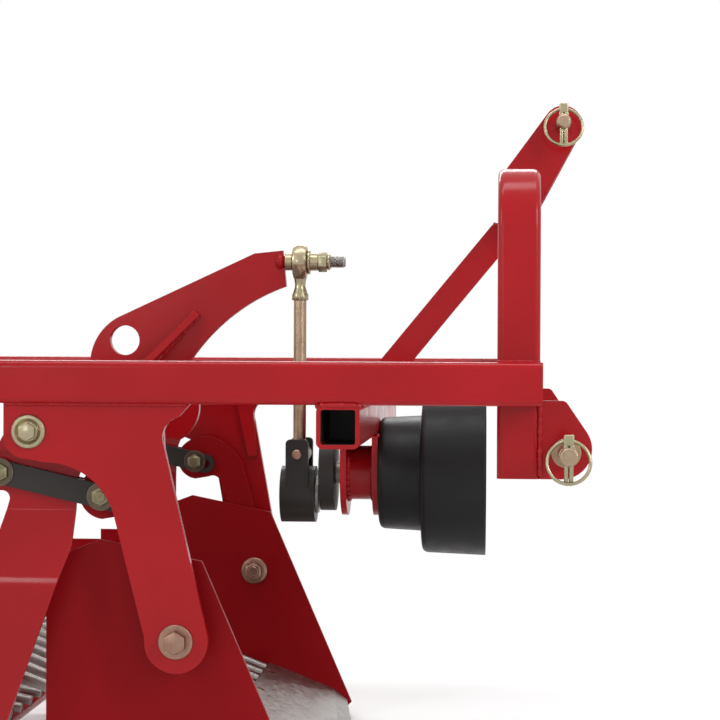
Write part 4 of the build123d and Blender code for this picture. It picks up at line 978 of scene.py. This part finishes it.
    def share_pivots(self, dresser: Dresser, place: Vector) -> None:
        """Build the share's pivot bolts: heads outside the legs, flanged nuts inside the panels."""
        leg = -corners("leg_right")[0].y
        head = corners("share_pivot_bolts")[1].y - leg - self.share_sheet
        outer, inner = (-corner.y for corner in corners("share_panel_right"))
        sleeve = outer + self.share_set
        centre = Vector((place.x, 0.0, place.z))
        bm = bmesh.new()
        for side in SIDES:
            axis = Y_AXIS * side
            face = centre + axis * leg
            disc(bm, face, axis, self.washer, self.share_sheet)
            hexagon(bm, face + axis * self.share_sheet, axis, self.share_flats, head, self.share_edge)
            back = centre + axis * (inner - self.share_set)
            dished_washer(bm, back, -axis, self.washer, self.dish)
            nut(bm, back - axis * self.share_nut_foot, -axis, self.share_flats, self.share_nut,
                self.share_end, self.share_washer)
            disc(bm, back, axis, self.share_bolt, leg - inner + MM)
            disc(bm, centre + axis * sleeve, axis, self.washer, leg - self.leg - sleeve, self.share_bolt)
        replaced = ("share_pivot_bolts", "share_pivot_washers")
        dresser.add("share_pivot_hardware", bm, "frame", Finish.BROWN, replaced)

    def clevis_rivet(self, dresser: Dresser) -> None:
        """Build the big end's clevis pin with a small peened head on each side."""
        low, high = corners("clevis_pin")
        half = (high.y - low.y) / 2
        head = [(self.bolt + wider, half - below) for wider, below in self.rivet_head]
        section = [(0.0, 0.0), (self.bolt, 0.0), *head, (0.0, half - self.rivet_top)]
        bm = bmesh.new()
        for side in SIDES:
            lathe(bm, section, (low + high) / 2, Y_AXIS * side, 40)
        dresser.add("clevis_rivet", bm, "big_end", Finish.BROWN, ("clevis_pin",))


@dataclass
class Welds:
    """Weld beads along the seams of the frame and the rocker; fine to heavy are half their widths."""

    fine: float = 0.0028
    thin: float = 0.0030
    full: float = 0.0034
    broad: float = 0.0036
    heavy: float = 0.0042
    leg_ahead: float = 0.186
    left_leg_ahead: float = 0.0115
    socket: float = 0.050
    plate: float = 0.010
    ear_drop: float = 0.024
    brace_foot: float = 0.040
    brace_head: float = 0.043
    hanger: float = 0.008
    housing: float = 0.036
    rib_angle: float = 46.0
    rib_start: float = 0.03
    rib_reach: float = 0.201
    rib_half: float = 0.0045
    arm_half: float = 0.006
    lever_faces: Point = (0.3385, 0.3442)
    shaft: float = 0.024

    def build(self, dresser: Dresser, joints: dict[str, Vector]) -> None:
        """Lay the beads of each body as one painted piece.

        Args:
            dresser: maker of the pieces.
            joints: place of each hinge of the frame.
        """
        bm = bmesh.new()
        self.rails(bm)
        self.hitch(bm)
        self.drive(bm)
        dresser.add("frame_welds", bm, "frame", Finish.RED, smooth=60.0)
        bm = bmesh.new()
        self.rocker(bm, joints["rocker_swing"])
        dresser.add("rocker_welds", bm, "rocker", Finish.RED, smooth=60.0)

    @staticmethod
    def both(bm: BMesh, start: Place, end: Place, radius: float = WELD) -> None:
        """Lay a bead and its mirror image on the other side of the machine."""
        for side in SIDES:
            mirror = Vector((1, side, 1))
            bead(bm, Vector(start) * mirror, Vector(end) * mirror, radius)

    def rails(self, bm: BMesh) -> None:
        """Seams of the legs, cross tubes, hoop and stand sockets on the rails."""
        low, high = corners("side_rail_left")
        for node in ("leg_right", "leg_left"):
            leg_low, leg_high = corners(node)
            front = self.leg_front(node)
            faces = sorted((leg_low.y, leg_high.y), key=abs, reverse=True)
            for y, size in zip(faces, (self.full, self.fine)):
                bead(bm, Vector((leg_low.x + 3 * MM, y, low.z)), Vector((front, y, low.z)), size)
        for node in CROSS_TUBES:
            tube_low, tube_high = corners(node)
            for x in (tube_low.x + 2 * MM, tube_high.x - 2 * MM):
                self.both(bm, (x, low.y + MM, low.z - MM), (x, high.y - MM, low.z - MM), self.heavy)
            y = high.y - 1.5 * MM
            self.both(bm, (tube_low.x + 4 * MM, y, low.z), (tube_high.x - 4 * MM, y, low.z))
        hoop_low, hoop_high = corners("hitch_hoop")
        self.both(bm, (hoop_low.x, low.y, high.z), (hoop_high.x, low.y, high.z), self.thin)
        self.both(bm, (hoop_low.x, low.y, low.z + 4 * MM), (hoop_low.x, low.y, high.z), self.thin)
        rear = corners("stand_sockets")[0].x
        front = rear + self.socket
        self.both(bm, (rear + 2 * MM, high.y, low.z), (front - MM, high.y, low.z))
        self.both(bm, (front + MM, high.y, low.z + 4 * MM), (front + MM, high.y, high.z))

    def leg_front(self, node: str) -> float:
        """X at which a leg's seam under the rail ends in front."""
        further = self.left_leg_ahead if node == "leg_left" else 0.0
        return corners("rocker_shaft")[0].x + self.shaft + self.leg_ahead + further

    def hitch(self, bm: BMesh) -> None:
        """Seams of the ears, the brace and the lower hitch plates on the hoop."""
        low, high = corners("hitch_hoop")
        ear = corners("top_link_ears")[1].y
        plate = corners("lower_hitch_plates")[1]
        for y, size in ((ear, self.broad), (ear - self.plate, self.fine)):
            self.both(bm, (low.x + 4 * MM, y, high.z), (high.x, y, high.z), size)
            self.both(bm, (high.x, y, high.z - self.ear_drop), (high.x, y, high.z - 2 * MM), size)
        for y in (plate.y, plate.y - self.plate):
            self.both(bm, (high.x, y, low.z + 3 * MM), (high.x, y, plate.z - 2 * MM), self.full)
        foot, head = corners("mast_brace")
        self.both(bm, (foot.x + MM, head.y, foot.z), (foot.x + self.brace_foot, head.y, foot.z))
        self.both(bm, (head.x - self.brace_head, head.y, head.z), (head.x - 2 * MM, head.y, head.z))

    def drive(self, bm: BMesh) -> None:
        """Seams of the bearing plates under the drive tube and around the bearing housing."""
        low, high = corners("bearing_hangers")
        under = corners("drive_cross_tube")[0].z
        rear, front = low.x + self.hanger, high.x - self.hanger
        for x in (low.x + 0.5 * MM, rear, front, high.x - 0.5 * MM):
            bead(bm, Vector((x, low.y + 2 * MM, under)), Vector((x, high.y - 2 * MM, under)), self.thin)
        height = middle("bearing_housing").z
        for x in (rear + MM, front - MM):
            ring_bead(bm, Vector((x, 0.0, height)), X_AXIS, self.housing, self.thin)

    def rocker(self, bm: BMesh, pivot: Vector) -> None:
        """Seams of the ribs, the arm and the short levers on the cross shaft."""
        angle = math.radians(self.rib_angle)
        along = Vector((math.cos(angle), 0.0, math.sin(angle)))
        across = Vector((-math.sin(angle), 0.0, math.cos(angle)))
        for side in SIDES:
            for edge in SIDES:
                seam = Vector((pivot.x, side * self.arm_half, pivot.z)) + across * edge * self.rib_half
                bead(bm, seam + along * self.rib_start, seam + along * (self.rib_reach - 2 * MM), self.thin)
            for y in (self.arm_half, *self.lever_faces):
                ring_bead(bm, Vector((pivot.x, side * y, pivot.z)), Y_AXIS, self.shaft, self.thin)


@dataclass
class Studio:
    """White studio: floor, soft lamps, world and the photographer's camera.

    A lamp is given as its name, place, width and depth, and power in watts.
    """

    eye: Place = (0.4375, -2.554, 0.560)
    lens: float = 95.5
    sensor: float = 36.0
    yaw: float = 4.2
    pitch: float = 0.42
    roll: float = 0.25
    floor_side: float = 14.0
    floor_tone: RGB = (0.86, 0.86, 0.86)
    floor_fade: Point = (0.7, 1.5)
    fill_low: float = 0.22
    fill_high: float = 0.72
    aim: Place = (0.1, 0.0, 0.4)
    boxes: tuple[tuple[str, Place, Point, float], ...] = (
        ("lamp_top", (0.2, -0.45, 2.8), (2.6, 0.6), 24.0),
        ("lamp_front", (2.4, -1.8, 1.6), (0.3, 1.4), 34.0),
        ("lamp_side", (-2.4, -1.8, 1.6), (0.3, 1.4), 20.0),
        ("lamp_rear", (-0.2, 2.3, 2.3), (2.6, 0.4), 36.0),
        ("lamp_low", (-0.85, -2.8, 0.98), (0.45, 0.4), 4.0),
    )

    def build(self) -> None:
        """Build the whole studio."""
        self.world()
        self.floor()
        self.lamps()
        self.camera()
        bpy.context.scene.view_settings.view_transform = "Standard"

    def world(self) -> None:
        """White surroundings for what sees them, and fill light that grows towards the sky for the rest."""
        world = bpy.data.worlds.new("studio_white")
        bpy.context.scene.world = world
        graph = NodeGraph(world)
        height = graph.add("SeparateXYZ", {0: graph.add("TexCoord").outputs["Generated"]}).outputs["Z"]
        rise = graph.span(height, self.fill_low, self.fill_high, -1.0, 1.0)
        fill = graph.add("Background", {"Color": WHITE, "Strength": rise})
        graph.blend(graph.seen(), fill, graph.add("Background", {"Color": WHITE}), "OutputWorld")

    def floor(self) -> None:
        """Pale floor that keeps the shadow near the machine and runs out to white."""
        bm = bmesh.new()
        bmesh.ops.create_grid(bm, x_segments=1, y_segments=1, size=self.floor_side / 2)
        mesh = bpy.data.meshes.new("studio_floor")
        bm.to_mesh(mesh)
        bm.free()
        floor = bpy.data.objects.new("studio_floor", mesh)
        bpy.context.scene.collection.objects.link(floor)
        material = bpy.data.materials.new("studio_floor")
        mesh.materials.append(material)
        graph = NodeGraph(material)
        away = graph.add("VectorMath", {0: graph.add("TexCoord").outputs["Object"]}, operation="LENGTH")
        near, far = self.floor_fade
        fade = graph.add("MapRange", {"Value": away.outputs["Value"], "From Min": near, "From Max": far},
                         interpolation_type="SMOOTHSTEP")
        share = graph.add("Math", {0: fade.outputs["Result"], 1: graph.seen()}, operation="MULTIPLY")
        matte = graph.add("BsdfDiffuse", {"Color": self.floor_tone})
        graph.blend(share.outputs[0], matte, graph.add("Emission"), "OutputMaterial")

    def lamps(self) -> None:
        """Long lamps above and behind, upright boxes at both ends and a small low one for the sieve."""
        for name, place, size, watts in self.boxes:
            data = bpy.data.lights.new(name, "AREA")
            data.shape = "RECTANGLE"
            data.size, data.size_y = size
            data.energy = watts
            lamp = bpy.data.objects.new(name, data)
            lamp.location = place
            way = Vector(self.aim) - Vector(place)
            lamp.rotation_euler = way.to_track_quat("-Z", "Y").to_euler()
            bpy.context.scene.collection.objects.link(lamp)

    def camera(self) -> None:
        """Camera at the photograph's place, turned a little to the rear of the machine."""
        yaw, pitch, roll = (math.radians(angle) for angle in (self.yaw, self.pitch, self.roll))
        level = Vector((-math.sin(yaw), math.cos(yaw), 0.0))
        forward = level * math.cos(pitch) - Z_AXIS * math.sin(pitch)
        right = Vector((math.cos(yaw), math.sin(yaw), 0.0))
        tilted = right * math.cos(roll) + right.cross(forward) * math.sin(roll)
        data = bpy.data.cameras.new("photo_camera")
        data.lens = self.lens
        data.sensor_width = self.sensor
        camera = bpy.data.objects.new("photo_camera", data)
        axes = Matrix((tilted, tilted.cross(forward), -forward)).transposed()
        camera.matrix_world = Matrix.Translation(self.eye) @ axes.to_4x4()
        bpy.context.scene.collection.objects.link(camera)
        bpy.context.scene.camera = camera


def main() -> None:
    """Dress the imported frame, add the finished pieces and set the studio."""
    logging.basicConfig(level=logging.INFO, format="%(name)s: %(message)s")
    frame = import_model()
    dresser = Dresser(frame)
    dresser.dress_nodes()
    hinges = [joint for joint in frame["record"]["behaviour"]["joints"] if "pos_m" in joint]
    joints = {joint["name"]: Vector(joint["pos_m"]) for joint in hinges}
    for assembly in (LinchpinSet(), DriveGuard(), RodEnd(), StudHardware(), TubeLinings(), SievePanels()):
        assembly.build(dresser)
    for hardware in (Fasteners(), Welds()):
        hardware.build(dresser, joints)
    Studio().build()


if __name__ == "__main__":
    main()
